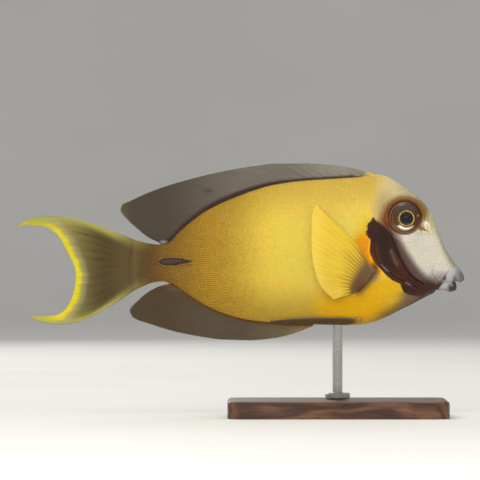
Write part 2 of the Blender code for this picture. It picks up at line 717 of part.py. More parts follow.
def make_head(fish, work):
    """Head with its eye sockets, orbit rolls and nostrils, and the two gill covers parted off it."""
    head = loft("head", body_form, gill_edge, lip_edge, 20, 20, fish)
    boolean(head, "UNION", [orbit_ring(side, work) for side in (1, -1)])
    holes = [nostril(side, *place, work) for side in (1, -1) for place in NOSTRILS]
    holes += [
        eyeball("socket", side, EYE_RADIUS + GAP, EYE_DEPTH + GAP, 24, 10, work) for side in (1, -1)
    ]
    boolean(head, "DIFFERENCE", holes)
    outline = outline_of(GILL_COVER, 40)
    middle = np.mean(outline, axis=0)
    covers = []
    for side, word in ((1, "left"), (-1, "right")):
        cover = head.copy()
        cover.data = head.data.copy()
        cover.name = f"gill_cover_{word}"
        fish.objects.link(cover)
        inner = []
        for x, z in outline:
            away = np.array([x, z]) - middle
            inner.append(tuple(middle + away * (1 - GAP / np.linalg.norm(away))))
        keep = prism("keep", inner, side * (GILL_COVER_INSIDE + GAP), side * CLEAR_OF_HEAD, work)
        boolean(cover, "INTERSECT", [keep])
        covers.append(cover)
    for side in (1, -1):
        cut = prism("cut", outline, side * GILL_COVER_INSIDE, side * CLEAR_OF_HEAD, work)
        boolean(head, "DIFFERENCE", [cut])
    return [head] + covers


def make_lips(fish):
    def behind(z):
        return lip_edge(z) + GAP

    def lip(top, bottom, nose, edge=ridge):
        """A length as wide as a share of the body, which closes in a round nose at its tip."""
        share, reach, tip, middle = nose

        def half(x):
            along = np.clip((x - tip + reach) / reach, 0.0, 0.98)
            return share * width(x) * np.sqrt(1 - along * along)

        return Form(top, bottom, half, level=always(middle), edge=edge, power=LIP_POWER)

    upper = lip(back, line(MOUTH_LINE), UPPER_LIP_NOSE)
    lower = lip(
        line(LOWER_LIP_TOP), line(LOWER_LIP_BOTTOM), LOWER_LIP_NOSE, edge=always(LOWER_LIP_RIDGE)
    )
    return [
        loft("upper_lip", upper, behind, line(UPPER_LIP_FRONT), 9, 9, fish),
        loft("lower_lip", lower, behind, line(LOWER_LIP_FRONT), 7, 7, fish),
    ]


def make_trunk(fish, work):
    """The trunk, from the gill edge to the tail stalk, with the hole that the stand's rod enters."""
    trunk = loft(
        "torso", body_form, lambda z: stalk_edge(z) + GAP, lambda z: gill_edge(z) - GAP, 24, 20, fish
    )
    low = float(belly(ROD_X))
    hole = cylinder("hole", ROD_RADIUS + GAP, low - 5.0, low + ROD_SINK + GAP, ROD_X, 24, work)
    boolean(trunk, "DIFFERENCE", [hole])
    return [trunk]


def make_tail_stalk(fish, work):
    stalk = loft("caudal_peduncle", body_form, tail_fin_edge, stalk_edge, 9, 14, fish)
    boolean(stalk, "DIFFERENCE", [blade("groove", side, GAP, 8, 6, work) for side in (1, -1)])
    blades = [
        blade(f"caudal_spine_{word}", side, 0.0, 8, 6, fish)
        for side, word in ((1, "left"), (-1, "right"))
    ]
    return [stalk] + blades


def make_fins(fish):
    dorsal = median_fin(
        "dorsal_fin", DORSAL_ROOT, back, GAP, DORSAL_MARGIN, DORSAL_REAR_EDGE, DORSAL_FRONT_EDGE,
        ray_shares(DORSAL_ROOT, DORSAL_SPINE_START, DORSAL_SPINES, DORSAL_SOFT_RAYS),
        DORSAL_SPINES, 5, fish,
    )
    anal = median_fin(
        "anal_fin", ANAL_ROOT, belly, -GAP, ANAL_MARGIN, ANAL_REAR_EDGE, ANAL_FRONT_EDGE,
        ray_shares(ANAL_ROOT, ANAL_SPINE_START, ANAL_SPINES, ANAL_SOFT_RAYS),
        ANAL_SPINES, 4, fish,
    )
    pairs = []
    for side, word in ((1, "left"), (-1, "right")):
        pairs.append(pectoral_fin(f"pectoral_fin_{word}", side, fish))
        pairs.append(pelvic_fin(f"pelvic_fin_{word}", side, fish))
    return [dorsal, anal] + tail_fin(fish) + pairs


def make_eyes(fish):
    return [
        eyeball(f"eye_{word}", side, EYE_RADIUS, EYE_DEPTH, 24, 9, fish)
        for side, word in ((1, "left"), (-1, "right"))
    ]


def make_stand(stand, work):
    """The flat base, with the hole that the rod stands in, and the rod with its collar."""
    long, wide, thick = BASE_SIZE
    bpy.ops.mesh.primitive_cube_add(size=1.0)
    block = Matrix.Translation((ROD_X * MM, 0.0, thick / 2 * MM))
    size = Matrix.Diagonal((long * MM, wide * MM, thick * MM, 1.0))
    base = placed_mesh("stand_base", block @ size, stand)
    shape = bmesh.new()
    shape.from_mesh(base.data)
    posts = [e for e in shape.edges if abs(e.verts[0].co.z - e.verts[1].co.z) > thick / 2 * MM]
    bmesh.ops.bevel(
        shape, geom=posts, offset=BASE_CORNER * MM, segments=5, profile=0.5, affect="EDGES"
    )
    top = [e for e in shape.edges if all(v.co.z > (thick - 0.01) * MM for v in e.verts)]
    bmesh.ops.bevel(shape, geom=top, offset=BASE_EDGE * MM, segments=2, profile=0.5, affect="EDGES")
    shape.to_mesh(base.data)
    shape.free()
    seat = cylinder("seat", ROD_RADIUS + GAP, thick - ROD_SEAT - GAP, thick + 5.0, ROD_X, 24, work)
    boolean(base, "DIFFERENCE", [seat])
    head = AXIS_HEIGHT + float(belly(ROD_X)) + ROD_SINK
    rod = cylinder("stand_rod", ROD_RADIUS, thick - ROD_SEAT, head, ROD_X, 20, stand)
    collar = cylinder("collar", COLLAR_RADIUS, thick + GAP, thick + GAP + COLLAR_HEIGHT, ROD_X, 24, work)
    boolean(rod, "UNION", [collar])
    return base, rod


def painted(name, colour, roughness, metallic=0.0):
    made = bpy.data.materials.new(name)
    made.use_nodes = True
    shader = made.node_tree.nodes["Principled BSDF"]
    shader.inputs["Base Color"].default_value = colour
    shader.inputs["Roughness"].default_value = roughness
    shader.inputs["Metallic"].default_value = metallic
    made.diffuse_color = colour
    return made


def finish(parts, colours):
    """Gives each part its own material and shades it smooth."""
    for part in parts:
        colour, roughness, metallic = colours[part.name]
        part.data.materials.clear()
        part.data.materials.append(painted(part.name, colour, roughness, metallic))
        part.data.shade_smooth()
        part.data.set_sharp_from_angle(angle=math.radians(40.0))


def main():
    for old in list(bpy.data.objects):
        bpy.data.objects.remove(old)
    fish = bpy.data.collections.new("surgeonfish")
    work = bpy.data.collections.new("cutters")
    for holder in (fish, work):
        bpy.context.scene.collection.children.link(holder)

    flesh = make_head(fish, work) + make_lips(fish) + make_trunk(fish, work)
    parts = flesh + make_tail_stalk(fish, work) + make_fins(fish) + make_eyes(fish)
    carrier = bpy.data.objects.new("fish_axis", None)
    fish.objects.link(carrier)
    carrier.location = (0.0, 0.0, AXIS_HEIGHT * MM)
    for part in parts:
        part.parent = carrier
    base, rod = make_stand(fish, work)

    skin, fin_skin = 0.45, 0.5
    colours = {
        "head": (CREAM, skin, 0.0),
        "torso": (YELLOW, skin, 0.0),
        "caudal_peduncle": (YELLOW, skin, 0.0),
        "upper_lip": (LIP_WHITE, skin, 0.0),
        "lower_lip": (LIP_WHITE, skin, 0.0),
        "dorsal_fin": (FIN_GREY, fin_skin, 0.0),
        "anal_fin": (FIN_GREY, fin_skin, 0.0),
        "caudal_fin_upper": (FIN_YELLOW, fin_skin, 0.0),
        "caudal_fin_middle": (FIN_YELLOW, fin_skin, 0.0),
        "caudal_fin_lower": (FIN_YELLOW, fin_skin, 0.0),
        "stand_base": (WALNUT, 0.4, 0.0),
        "stand_rod": (STEEL, 0.3, 1.0),
    }
    for word in ("left", "right"):
        colours[f"gill_cover_{word}"] = (CHOCOLATE, skin, 0.0)
        colours[f"pectoral_fin_{word}"] = (PECTORAL_YELLOW, fin_skin, 0.0)
        colours[f"pelvic_fin_{word}"] = (FIN_GREY, fin_skin, 0.0)
        colours[f"caudal_spine_{word}"] = (CHOCOLATE, 0.4, 0.0)
        colours[f"eye_{word}"] = (IRIS_BROWN, 0.12, 0.0)
    finish(parts + [base, rod], colours)


main()
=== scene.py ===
"""The looks of a chocolate surgeonfish, life size, as a painted museum model on its stand.

Sizes are in millimetres from the fish's own long axis: x towards the mouth, y towards its left
side, z up. The meshes are made in metres, with that axis AXIS_HEIGHT above the floor.
"""

import math

import bmesh
import bpy
import numpy as np
from mathutils import Matrix, Vector


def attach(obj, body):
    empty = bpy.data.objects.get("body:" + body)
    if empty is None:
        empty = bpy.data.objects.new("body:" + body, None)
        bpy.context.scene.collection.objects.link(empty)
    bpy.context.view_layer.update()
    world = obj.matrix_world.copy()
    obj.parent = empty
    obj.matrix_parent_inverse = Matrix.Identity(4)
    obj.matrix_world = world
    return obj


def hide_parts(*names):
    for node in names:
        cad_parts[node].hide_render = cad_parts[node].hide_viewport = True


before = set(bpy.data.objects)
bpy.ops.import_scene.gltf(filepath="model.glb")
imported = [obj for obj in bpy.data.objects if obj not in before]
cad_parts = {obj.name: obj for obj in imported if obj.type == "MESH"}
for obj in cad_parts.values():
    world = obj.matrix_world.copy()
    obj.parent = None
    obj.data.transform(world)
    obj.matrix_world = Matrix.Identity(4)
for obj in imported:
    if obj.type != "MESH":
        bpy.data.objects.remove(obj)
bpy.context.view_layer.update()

MM = 0.001
AXIS_HEIGHT = 62.0
GAP = 0.3  # between neighbouring solids
SIDES = ((1, "left"), (-1, "right"))

# Lines of the body, as in the solids: (x, z) or (x, half width).
BACK_LINE = [
    (-46.0, 9.8), (-42.0, 8.8), (-36.0, 7.4), (-32.0, 7.0), (-28.4, 8.2), (-25.4, 11.4),
    (-21.6, 15.0), (-13.2, 21.1), (-2.4, 26.2), (5.2, 29.0), (12.9, 31.2), (24.4, 32.9),
    (36.0, 33.7), (46.8, 34.4), (52.8, 35.2), (57.6, 34.6), (62.4, 32.3), (67.2, 29.0),
    (72.0, 25.1), (74.8, 22.2), (77.0, 18.8), (79.2, 12.9), (81.6, 6.6), (84.0, 2.4),
    (86.4, -1.0), (88.6, -3.8), (89.6, -5.6),
]
BELLY_LINE = [
    (-46.0, -13.4), (-42.0, -11.4), (-38.4, -9.6), (-35.0, -8.3), (-31.0, -7.8), (-27.4, -8.8),
    (-23.8, -11.3), (-19.3, -14.5), (-10.1, -19.5), (-4.0, -21.8), (5.0, -23.8), (13.0, -24.5),
    (30.4, -25.0), (42.0, -25.3), (48.0, -25.1), (52.8, -24.2), (57.6, -22.4), (67.2, -17.7),
    (76.8, -12.8), (79.4, -11.6), (84.0, -11.6),
]
WIDTH_LINE = [
    (-46.0, 1.3), (-42.0, 1.8), (-36.0, 2.8), (-30.0, 3.5), (-24.0, 4.4), (-12.0, 6.5),
    (0.0, 8.3), (15.0, 10.1), (30.0, 11.2), (45.0, 11.6), (56.0, 11.2), (64.0, 10.2),
    (72.0, 8.4), (78.0, 6.6), (82.0, 5.2), (86.0, 4.2), (89.6, 3.2),
]
WIDEST_LINE = [
    (-46.0, -1.6), (-30.0, -0.2), (-10.0, 2.0), (10.0, 3.5), (40.0, 4.0), (60.0, 3.4),
    (70.0, 2.0), (78.0, -2.0), (84.0, -5.6), (89.6, -7.0),
]
RIDGE_LINE = [
    (-46.0, 0.4), (-34.0, 0.7), (-26.0, 1.1), (44.0, 1.1), (56.0, 0.8), (78.0, 0.9), (89.6, 0.6),
]
SECTION_POWER = 1.15  # how fast a section narrows away from its widest level

# Edges between the lengths of the body, as (z, x).
GILL_EDGE = [
    (-19.0, 67.4), (-13.0, 66.2), (-10.0, 65.0), (-8.0, 63.2), (-7.0, 61.2), (-5.5, 58.5),
    (-3.4, 55.9), (-1.4, 54.1), (1.2, 52.6), (4.5, 51.7), (7.0, 51.6), (10.4, 52.2),
    (18.0, 53.6), (26.0, 54.6), (37.0, 55.2),
]
TAIL_FIN_EDGE = [(-14.0, -42.2), (-1.2, -44.6), (11.0, -42.2)]
LIP_EDGE = [
    (-12.0, 79.0), (-10.5, 79.3), (-9.5, 80.1), (-8.5, 81.0), (-7.3, 81.6), (-5.4, 82.4),
    (-3.9, 83.4), (-2.6, 85.0), (-1.0, 86.5), (2.0, 87.6),
]
GILL_STEP_OUT = 0.5
GILL_STEP_IN = 0.4
GILL_OPENING = (-8.5, 8.6)  # heights between which the gill cover's edge is free
GILL_RING = 0.35 / 90.0  # share of the body between that edge and the last ring behind it

# Mouth: lines as (x, z), fronts as (z, x).
MOUTH_LINE = [(79.0, -8.9), (82.0, -8.5), (84.5, -8.2), (86.4, -7.7), (88.2, -8.1), (89.6, -7.2)]
UPPER_LIP_FRONT = [(-9.0, 88.4), (-7.6, 89.5), (-6.2, 89.6), (-4.0, 89.0), (-2.0, 88.0)]
LOWER_LIP_TOP = [(78.0, -7.8), (82.0, -7.5), (84.5, -7.5), (85.8, -7.8), (86.5, -8.5), (86.8, -9.2)]
LOWER_LIP_BOTTOM = [(78.0, -11.3), (81.0, -11.3), (84.2, -11.9), (86.0, -11.4), (86.8, -10.8)]
LOWER_LIP_FRONT = [(-13.0, 85.0), (-11.4, 86.2), (-10.2, 86.6), (-8.0, 86.2)]
LIP_POWER = 0.55
MOUTH_CORNER = (82.4, -8.6)
MOUTH_FOLD = (1.7, 2.6, 1.5)  # depth, length and height of the fold at that corner
# Each lip's share of the body's width, the length of its round nose, its tip and its middle height.
UPPER_LIP_NOSE = (1.0, 5.6, 90.1, -5.2)
LOWER_LIP_NOSE = (0.84, 4.4, 86.9, -9.8)
LOWER_LIP_RIDGE = 0.5
# How far round a line the skin is rounded off, from which x on or between which, and how often.
LIP_SEAM = (0.7, 78.0, 2)
MOUTH_CLEFT = (0.8, 80.5, 86.2, 6)
LIP_ROOT = 1.4  # how far behind its edge a lip starts, inside the head

# Eyes and nostrils.
EYE_CENTRE = (65.8, 17.7)
EYE_RADIUS = 6.8
EYE_DEPTH = 2.2
EYE_SINK = 0.9
PUPIL_CENTRE = (66.3, 17.4)
PUPIL_RADIUS = 2.7
PUPIL_RINGS = (3.0, 3.65)  # radii of the two gold lines round the pupil
PUPIL_RISE = 0.16  # how far the pupil stands out of the eye
RING_RISE = 0.06  # and the ring between the gold lines
IRIS_GROOVE = (5.6, 0.05)  # radius and depth
# A painted reflection below the pupil, shaped as a pale crescent.
REFLECTION_CRESCENT = (65.9, 16.9, 3.95, 14.8)  # middle and radius of the pale crescent, and its top
SOCKET_DEPTH = 1.5
# Radius, width and height of the roll of skin round the eye, and of the low one round that.
ORBIT_ROLLS = ((7.3, 0.8, 0.36), (8.7, 0.5, 0.14))
NOSTRILS = ((75.0, 14.3, 0.55), (73.5, 13.0, 0.45))

# Blade on the tail stalk, as (x, z), with its half thickness as (x, y).
BLADE_TOP = [(-32.2, 0.3), (-30.6, 1.2), (-27.0, 1.3), (-23.0, 0.9), (-19.6, 0.35)]
BLADE_BOTTOM = [(-32.2, -0.1), (-30.6, -1.0), (-27.0, -1.1), (-23.0, -0.4), (-19.6, 0.1)]
BLADE_HALF_WIDTH = [(-32.2, 0.35), (-30.0, 1.0), (-26.0, 1.05), (-22.0, 0.75), (-19.6, 0.3)]
BLADE_EDGE = 0.06
BLADE_SINK = 0.55

# Dorsal and anal fins.
DORSAL_SPINES = 8
DORSAL_SOFT_RAYS = 27
DORSAL_ROOT = (-30.4, 53.0)
DORSAL_SPINE_START = 28.5
DORSAL_REAR_EDGE = [(-30.4, 7.9), (-33.5, 8.6)]
DORSAL_FRONT_EDGE = [(53.0, 35.2), (52.0, 35.8)]
DORSAL_MARGIN = [
    (-33.5, 8.6), (-35.2, 9.1), (-41.6, 13.6), (-45.6, 17.4), (-47.8, 20.4), (-47.5, 22.4),
    (-43.2, 24.8), (-33.6, 29.0), (-19.2, 33.4), (-4.8, 36.7), (4.8, 38.3), (14.4, 39.4),
    (26.0, 39.5), (38.4, 38.7), (43.0, 38.0), (49.4, 36.6), (52.0, 35.8),
]
DORSAL_REAR_SHARE = 0.16  # of the margin, which is the fin's rear edge
ANAL_SPINES = 3
ANAL_SOFT_RAYS = 24
ANAL_ROOT = (-26.6, 29.6)
ANAL_SPINE_START = 25.0
ANAL_REAR_EDGE = [(-26.6, -9.4), (-29.5, -9.1)]
ANAL_FRONT_EDGE = [(29.6, -25.3), (28.6, -25.9)]
ANAL_MARGIN = [
    (-29.5, -9.1), (-31.0, -9.3), (-36.0, -11.5), (-41.0, -15.4), (-44.2, -19.4), (-43.2, -21.8),
    (-36.0, -24.8), (-24.0, -28.3), (-16.8, -29.7), (-7.0, -31.0), (4.0, -31.3), (14.0, -30.4),
    (21.6, -28.6), (28.6, -25.9),
]
ANAL_REAR_SHARE = 0.2
MEDIAN_SWAY = (0.4, 5)  # height and number of the slight waves of both fins

# Tail fin.
TAIL_RAYS = 18
TAIL_SWAY = (0.35, 3)
TAIL_ROOT = (8.5, -10.9)
TAIL_UPPER_EDGE = [
    (-50.4, 12.0), (-60.0, 15.5), (-68.0, 17.6), (-74.4, 18.2), (-81.0, 17.7),
    (-86.4, 16.1), (-90.1, 13.9),
]
TAIL_LOWER_EDGE = [
    (-50.4, -16.6), (-60.0, -21.9), (-66.0, -24.2), (-72.0, -24.9),
    (-78.0, -24.1), (-84.6, -21.7),
]
TAIL_MARGIN = [
    (-90.1, 13.9), (-85.0, 14.7), (-79.2, 14.2), (-74.4, 12.0), (-71.4, 8.4), (-68.6, 3.0),
    (-66.4, -1.6), (-65.7, -4.8), (-66.4, -11.0), (-68.2, -16.2), (-70.8, -19.8),
    (-74.4, -21.5), (-79.2, -21.7), (-84.6, -21.7),
]

# Pectoral and pelvic fins.
PECTORAL_RAYS = 15
PECTORAL_ROOT = [(53.4, -4.0), (51.0, -7.6), (47.4, -11.5)]
PECTORAL_UPPER_EDGE = [(53.4, -4.0), (43.6, 9.8), (36.4, 17.0), (30.2, 23.2)]
PECTORAL_LOWER_EDGE = [(47.4, -11.5), (42.6, -13.0), (37.2, -15.0)]
PECTORAL_MARGIN = [
    (30.2, 23.2), (29.3, 21.6), (28.6, 20.0), (28.2, 14.0), (28.4, 4.0), (29.4, -3.0),
    (32.0, -9.6), (37.2, -15.0),
]
PECTORAL_STAND_OFF = (1.3, 3.2)  # from the flank, at its root and its margin
PELVIC_RAYS = 6  # of which the last, the lowest, is the spine
PELVIC_SPINES = 1
PELVIC_SPAN = (48.4, 12.0)
PELVIC_TOP_ANGLE = [(0.0, -63.0), (0.25, -60.0), (0.7, -62.0), (1.0, -67.0)]
PELVIC_BOTTOM_ANGLE = [(0.0, -69.0), (0.25, -72.0), (0.7, -72.0), (1.0, -69.0)]
PELVIC_LIFT = (0.9, 1.5)  # off the belly, at its root and its tip
PELVIC_LEAN = -55.0  # degrees from level, of the way that it lifts off

# Stand.
BASE_SIZE = (88.0, 56.0, 7.0)
BASE_CORNER = 6.0
BASE_EDGE = 1.2
ROD_X = 39.0
ROD_RADIUS = 2.0
ROD_SINK = 9.0  # how deep the rod stands in the belly
ROD_FOOT = 2.0  # and in the base
COLLAR_RADIUS = 5.0
COLLAR_HEIGHT = 2.4
COLLAR_EASE = 0.4  # its chamfer
ROD_FILLET = 0.3

CAMERA_PLACE = (0.0, -2000.0, AXIS_HEIGHT + 8.8)

# Fineness of the looks.
COAT_DEPTH = 0.1  # how far the skin lies inside the solids, which the scales fill
BODY_STATIONS = 150
HEAD_STATIONS = 118
SKIN_TURNS = 140
LIP_FINENESS = ((34, 34), (28, 24))  # lengths and turns of the upper and the lower lip
EDGE_SEARCH = 60  # turns of the search for the x where a ring meets a curved edge
BODY_SCALE_PITCH = 0.8
HEAD_SCALE_PITCH = 0.6
SCALE_SPAN = (-43.6, 86.0)
SCALE_SIZE = (1.35, 1.22, 0.06)  # length, width and height for a pitch of 1 mm
SCALE_LIFT = 0.02  # of a scale's free rear edge
SCALE_CORNERS = 7
SCALE_SPREAD = 0.06  # share by which scales differ in size, either way
SCALE_ROW_STEP = 0.86  # from row to row, for a pitch of 1
SCALE_WANDER = (0.08, 0.07)  # how far scales stray along the body, and how much their lie turns
MEMBRANE = 0.16  # half a fin's thickness between its rays
RAY_RADIUS = (0.27, 0.1)  # of a soft ray at its root and its tip
SPINE_RADIUS = (0.5, 0.16)
RAY_SIDES = 6
RAY_POINTS = (14, 16)  # points along each stretch of a soft ray, and along a spine
RAY_GAP_COLUMNS = 6  # columns of the membrane from ray to ray
MEMBRANE_SAG = 0.12  # how far its margin is drawn in between two rays
FIN_ROWS = 30
TAIL_ROWS = 46
FIN_FOOT = 0.9  # how deep a fin's foot stands in the skin
MEDIAN_FORKS = (0.4, 0.7)  # shares of a ray's length at which it forks
TAIL_FORKS = (0.3, 0.6)
PECTORAL_FORKS = (0.45, 0.72)
PELVIC_FORKS = (0.5,)
EYE_TURNS = 128
EYE_RINGS = 64

# Colours, as they look in the photo's light, 0 to 255.
MID_YELLOW = (252, 215, 87)
FRONT_YELLOW = (255, 219, 98)
UPPER_OCHRE = (212, 174, 70)
LOWER_OCHRE = (194, 160, 64)
REAR_OCHRE = (184, 141, 49)
REAR_BROWN = (134, 98, 45)
STALK_BROWN = (106, 78, 46)
BELLY_ORANGE = (255, 188, 0)
GILL_ORANGE = (255, 162, 0)
GOLD_YELLOW = (240, 196, 40)
NAPE_CREAM = (222, 200, 132)
FOREHEAD_CREAM = (208, 194, 148)
BROW_OLIVE = (180, 171, 130)
CHEEK_CREAM = (224, 214, 196)
LOW_CHEEK = (208, 203, 204)
SNOUT_OLIVE = (136, 134, 110)
CHIN_TAN = (126, 100, 78)
# Partly the throat's tan, partly painted shade along the underside.
THROAT_BROWN = (126, 94, 56)
TEMPLE_TAN = (184, 154, 110)
MUZZLE_BROWN = (134, 112, 104)
GILL_BROWN = (72, 49, 42)
GILL_DARK = (61, 45, 41)
GILL_WARM = (92, 56, 36)
# Painted highlight on the ridge of the gill cover's plate.
PLATE_HIGHLIGHT = (132, 100, 82)
CREASE_BROWN = (106, 82, 74)
HALO_RUST = (116, 64, 24)
HALO_GOLD = (142, 104, 42)
HALO_BROWN = (78, 50, 32)
# The nostril flap's white, also the painted highlights along the gill cover's lower crease.
NOSTRIL_AND_HIGHLIGHT_WHITE = (246, 238, 230)
PECTORAL_BROWN = (98, 68, 40)
PECTORAL_OLIVE = (124, 94, 54)
SPINE_BROWN = (62, 48, 50)
ROOT_PURPLE = (62, 49, 47)
ROOT_BROWN = (104, 70, 42)
DORSAL_GREY = (103, 97, 88)
DORSAL_REAR = (70, 63, 55)
DORSAL_TIP = (84, 74, 46)
DORSAL_FRONT = (130, 125, 112)
CREST_CREAM = (204, 178, 104)
ANAL_BROWN = (80, 71, 57)
ANAL_REAR = (72, 60, 45)
ANAL_FRONT = (104, 92, 68)
PELVIC_BROWN = (92, 73, 54)
MARGIN_PALE = (136, 144, 142)
TAIL_BROWN = (76, 65, 42)
STALK_REAR = (100, 82, 52)
TAIL_ROOT_BROWN = (86, 71, 47)
TAIL_OLIVE = (138, 130, 72)
TAIL_EDGE = (152, 146, 76)
TAIL_YELLOW = (198, 184, 46)
TAIL_TIP = (154, 152, 64)
TAIL_PALE = (156, 150, 116)
TAIL_STREAK = (66, 52, 34)
PECTORAL_YELLOW = (222, 188, 62)
PECTORAL_GOLD = (218, 176, 46)
PECTORAL_BASE = (100, 76, 58)
PECTORAL_CORNER = (92, 52, 32)
PECTORAL_EDGE = (128, 108, 78)
PECTORAL_SHADE = (0.84, 0.92)  # of the membrane and of its rays, which face the light
# Painted shade: the rim fades into the flank's yellow dimmed to this share, as the fin faces the
# light.
PECTORAL_RIM_SHADE = 0.87
# White and grey of the lips: partly their own colours, partly painted highlight and painted shade.
LIP_WHITE = (162, 163, 165)
LIP_GREY = (134, 133, 131)
# Painted shade and shadow on the lips, and painted highlights.
LIP_SHADE = (98, 97, 96)
LIP_SHADOW = (50, 49, 48)
LIP_HIGHLIGHT = (136, 134, 132)
# Painted shade in the notch between the lips and in the folds behind them.
NOTCH_SHADOW = (44, 34, 34)
FOLD_SHADE_BROWN = (74, 50, 38)
# Painted shade at the underside's lowest edge.
CHIN_GREY = (66, 57, 51)
RAY_SHADE = 0.95  # of the tail's and the pelvic fins' rays beside their membrane
PUPIL_BLACK = (22, 13, 30)
IRIS_BROWN = (72, 51, 38)
IRIS_DARK = (46, 32, 27)
IRIS_OLIVE = (62, 56, 42)
IRIS_GOLD = (226, 184, 80)
IRIS_LINE = (150, 108, 50)
# Painted reflection in the iris, below the pupil.
IRIS_REFLECTION = (246, 246, 228)
WALNUT_DARK = (58, 36, 24)
WALNUT_PALE = (112, 74, 48)
WALNUT_PORE = (34, 21, 14)
STEEL_GREY = (196, 196, 194)
STEEL_WORN = (150, 150, 150)
FLOOR_PALE = (232, 230, 226)
FLOOR_CLOUD = (220, 218, 213)
GLOSS_FILM = 0.018  # linear light that gloss lays over every painted colour


def seen(colour):
    """A colour as it looks, 0 to 255, in the linear numbers that the shaders take."""
    value = np.asarray(colour, float) / 255.0
    return np.where(value <= 0.04045, value / 12.92, ((value + 0.055) / 1.055) ** 2.4)


def deepened(tint):
    """Painted colours, less the pale film that gloss and studio light lay over them."""
    return np.clip(tint - GLOSS_FILM, 0.0015, 0.9)


def plain(colour, x):
    """One colour at every place of x."""
    return np.broadcast_to(seen(colour), np.shape(x) + (3,))


def layered(tint, layers):
    """Lays colours over a tint one after another, each by its share at each place."""
    for colour, share in layers:
        tint = tint + (seen(colour) - tint) * np.clip(share, 0.0, 1.0)[..., None]
    return tint


def line(points):
    """A smooth function through (at, value) points that never overshoots them."""
    at, value = (np.array(column, float) for column in zip(*points))
    step = np.diff(at)
    slope = np.diff(value) / step
    tangent = np.concatenate([slope[:1], np.zeros(len(at) - 2), slope[-1:]])
    for i in range(1, len(at) - 1):
        before, after = slope[i - 1], slope[i]
        if before * after > 0:
            heavy = 2 * step[i] + step[i - 1]
            light = step[i] + 2 * step[i - 1]
            tangent[i] = (heavy + light) / (heavy / before + light / after)

    def read(wanted):
        wanted = np.clip(np.asarray(wanted, float), at[0], at[-1])
        i = np.clip(np.searchsorted(at, wanted) - 1, 0, len(step) - 1)
        t = (wanted - at[i]) / step[i]
        return (
            value[i] * (1 + 2 * t) * (1 - t) ** 2
            + tangent[i] * step[i] * t * (1 - t) ** 2
            + value[i + 1] * t * t * (3 - 2 * t)
            + tangent[i + 1] * step[i] * t * t * (t - 1)
        )

    return read


def path(points):
    """A smooth curve through points in the plane, read by its share of the length, 0 to 1."""
    xs, zs = zip(*points)
    reach = np.concatenate([[0.0], np.cumsum(np.hypot(np.diff(xs), np.diff(zs)))])
    reach = reach / reach[-1]
    x_at, z_at = line(list(zip(reach, xs))), line(list(zip(reach, zs)))
    return lambda t: np.stack([x_at(t), z_at(t)], axis=-1)


back = line(BACK_LINE)
belly = line(BELLY_LINE)
width = line(WIDTH_LINE)
widest = line(WIDEST_LINE)
ridge = line(RIDGE_LINE)
gill_edge = line(GILL_EDGE)
tail_fin_edge = line(TAIL_FIN_EDGE)
lip_edge = line(LIP_EDGE)


def smooth_step(t):
    t = np.clip(t, 0.0, 1.0)
    return t * t * (3 - 2 * t)


def ramp(at, start, end):
    """0 up to the start, then a smooth rise to 1 at the end, which may lie on either side."""
    return smooth_step((at - start) / (end - start))


def bump(away, reach):
    """1 at no distance, falling away as a bell."""
    return np.exp(-((away / reach) ** 2))


def oval(x, z, middle, reach, soft=0.5):
    """1 inside an oval seen from the side, fading to 0 across its edge."""
    away = np.hypot((x - middle[0]) / reach[0], (z - middle[1]) / reach[1])
    return smooth_step((1 + soft - away) / (2 * soft))


def from_stroke(stroke, x, z, closed=False):
    """The distance to a line of points, or how far inside a closed one a place lies."""
    x, z = np.asarray(x, float), np.asarray(z, float)
    near = np.full(x.shape, 1e9)
    inside = np.zeros(x.shape, bool)
    ends = list(zip(stroke[:-1], stroke[1:]))
    if closed:
        ends.append((stroke[-1], stroke[0]))
    for (ax, az), (bx, bz) in ends:
        along_x, along_z = bx - ax, bz - az
        size = along_x**2 + along_z**2 + 1e-12
        t = np.clip(((x - ax) * along_x + (z - az) * along_z) / size, 0.0, 1.0)
        near = np.minimum(near, np.hypot(x - ax - t * along_x, z - az - t * along_z))
        if closed and az != bz:
            between = (az > z) != (bz > z)
            inside ^= between & (x < along_x * (z - az) / along_z + ax)
    return np.where(inside, near, -near) if closed else near


def mottle(x, z, size, seed):
    """Smooth noise between 0 and 1 with blotches of about the given size."""
    draw = np.random.default_rng(seed).random((64, 64))
    across, up = np.asarray(x, float) / size, np.asarray(z, float) / size
    i, k = np.floor(across).astype(int), np.floor(up).astype(int)
    s, t = smooth_step(across - i), smooth_step(up - k)
    low = draw[i % 64, k % 64] * (1 - s) + draw[(i + 1) % 64, k % 64] * s
    high = draw[i % 64, (k + 1) % 64] * (1 - s) + draw[(i + 1) % 64, (k + 1) % 64] * s
    return low * (1 - t) + high * t


# Markings on the head, as (x, z).
GILL_PATCH = [
    (52.8, 17.8), (54.9, 16.1), (57.0, 14.8), (60.2, 12.2), (63.4, 9.0), (65.2, 5.8),
    (67.4, 2.2), (69.6, -1.0), (72.0, -4.0), (75.0, -6.8), (78.2, -8.4), (80.6, -9.2),
    (79.6, -11.2), (76.6, -12.8), (72.4, -13.5), (68.2, -13.2), (65.4, -11.9), (63.6, -8.6),
    (60.4, -7.1), (56.3, -3.0), (54.0, -0.6), (52.4, 2.1), (51.6, 5.2), (51.9, 8.6),
    (50.9, 10.6), (50.5, 13.1), (51.2, 15.4),
]
CREAM_EDGE = [
    (-26.0, 65.0), (-13.0, 68.0), (-10.0, 70.0), (-6.0, 66.0), (0.0, 61.0), (10.0, 56.0),
    (17.0, 53.6), (24.0, 54.0), (37.0, 58.0),
]
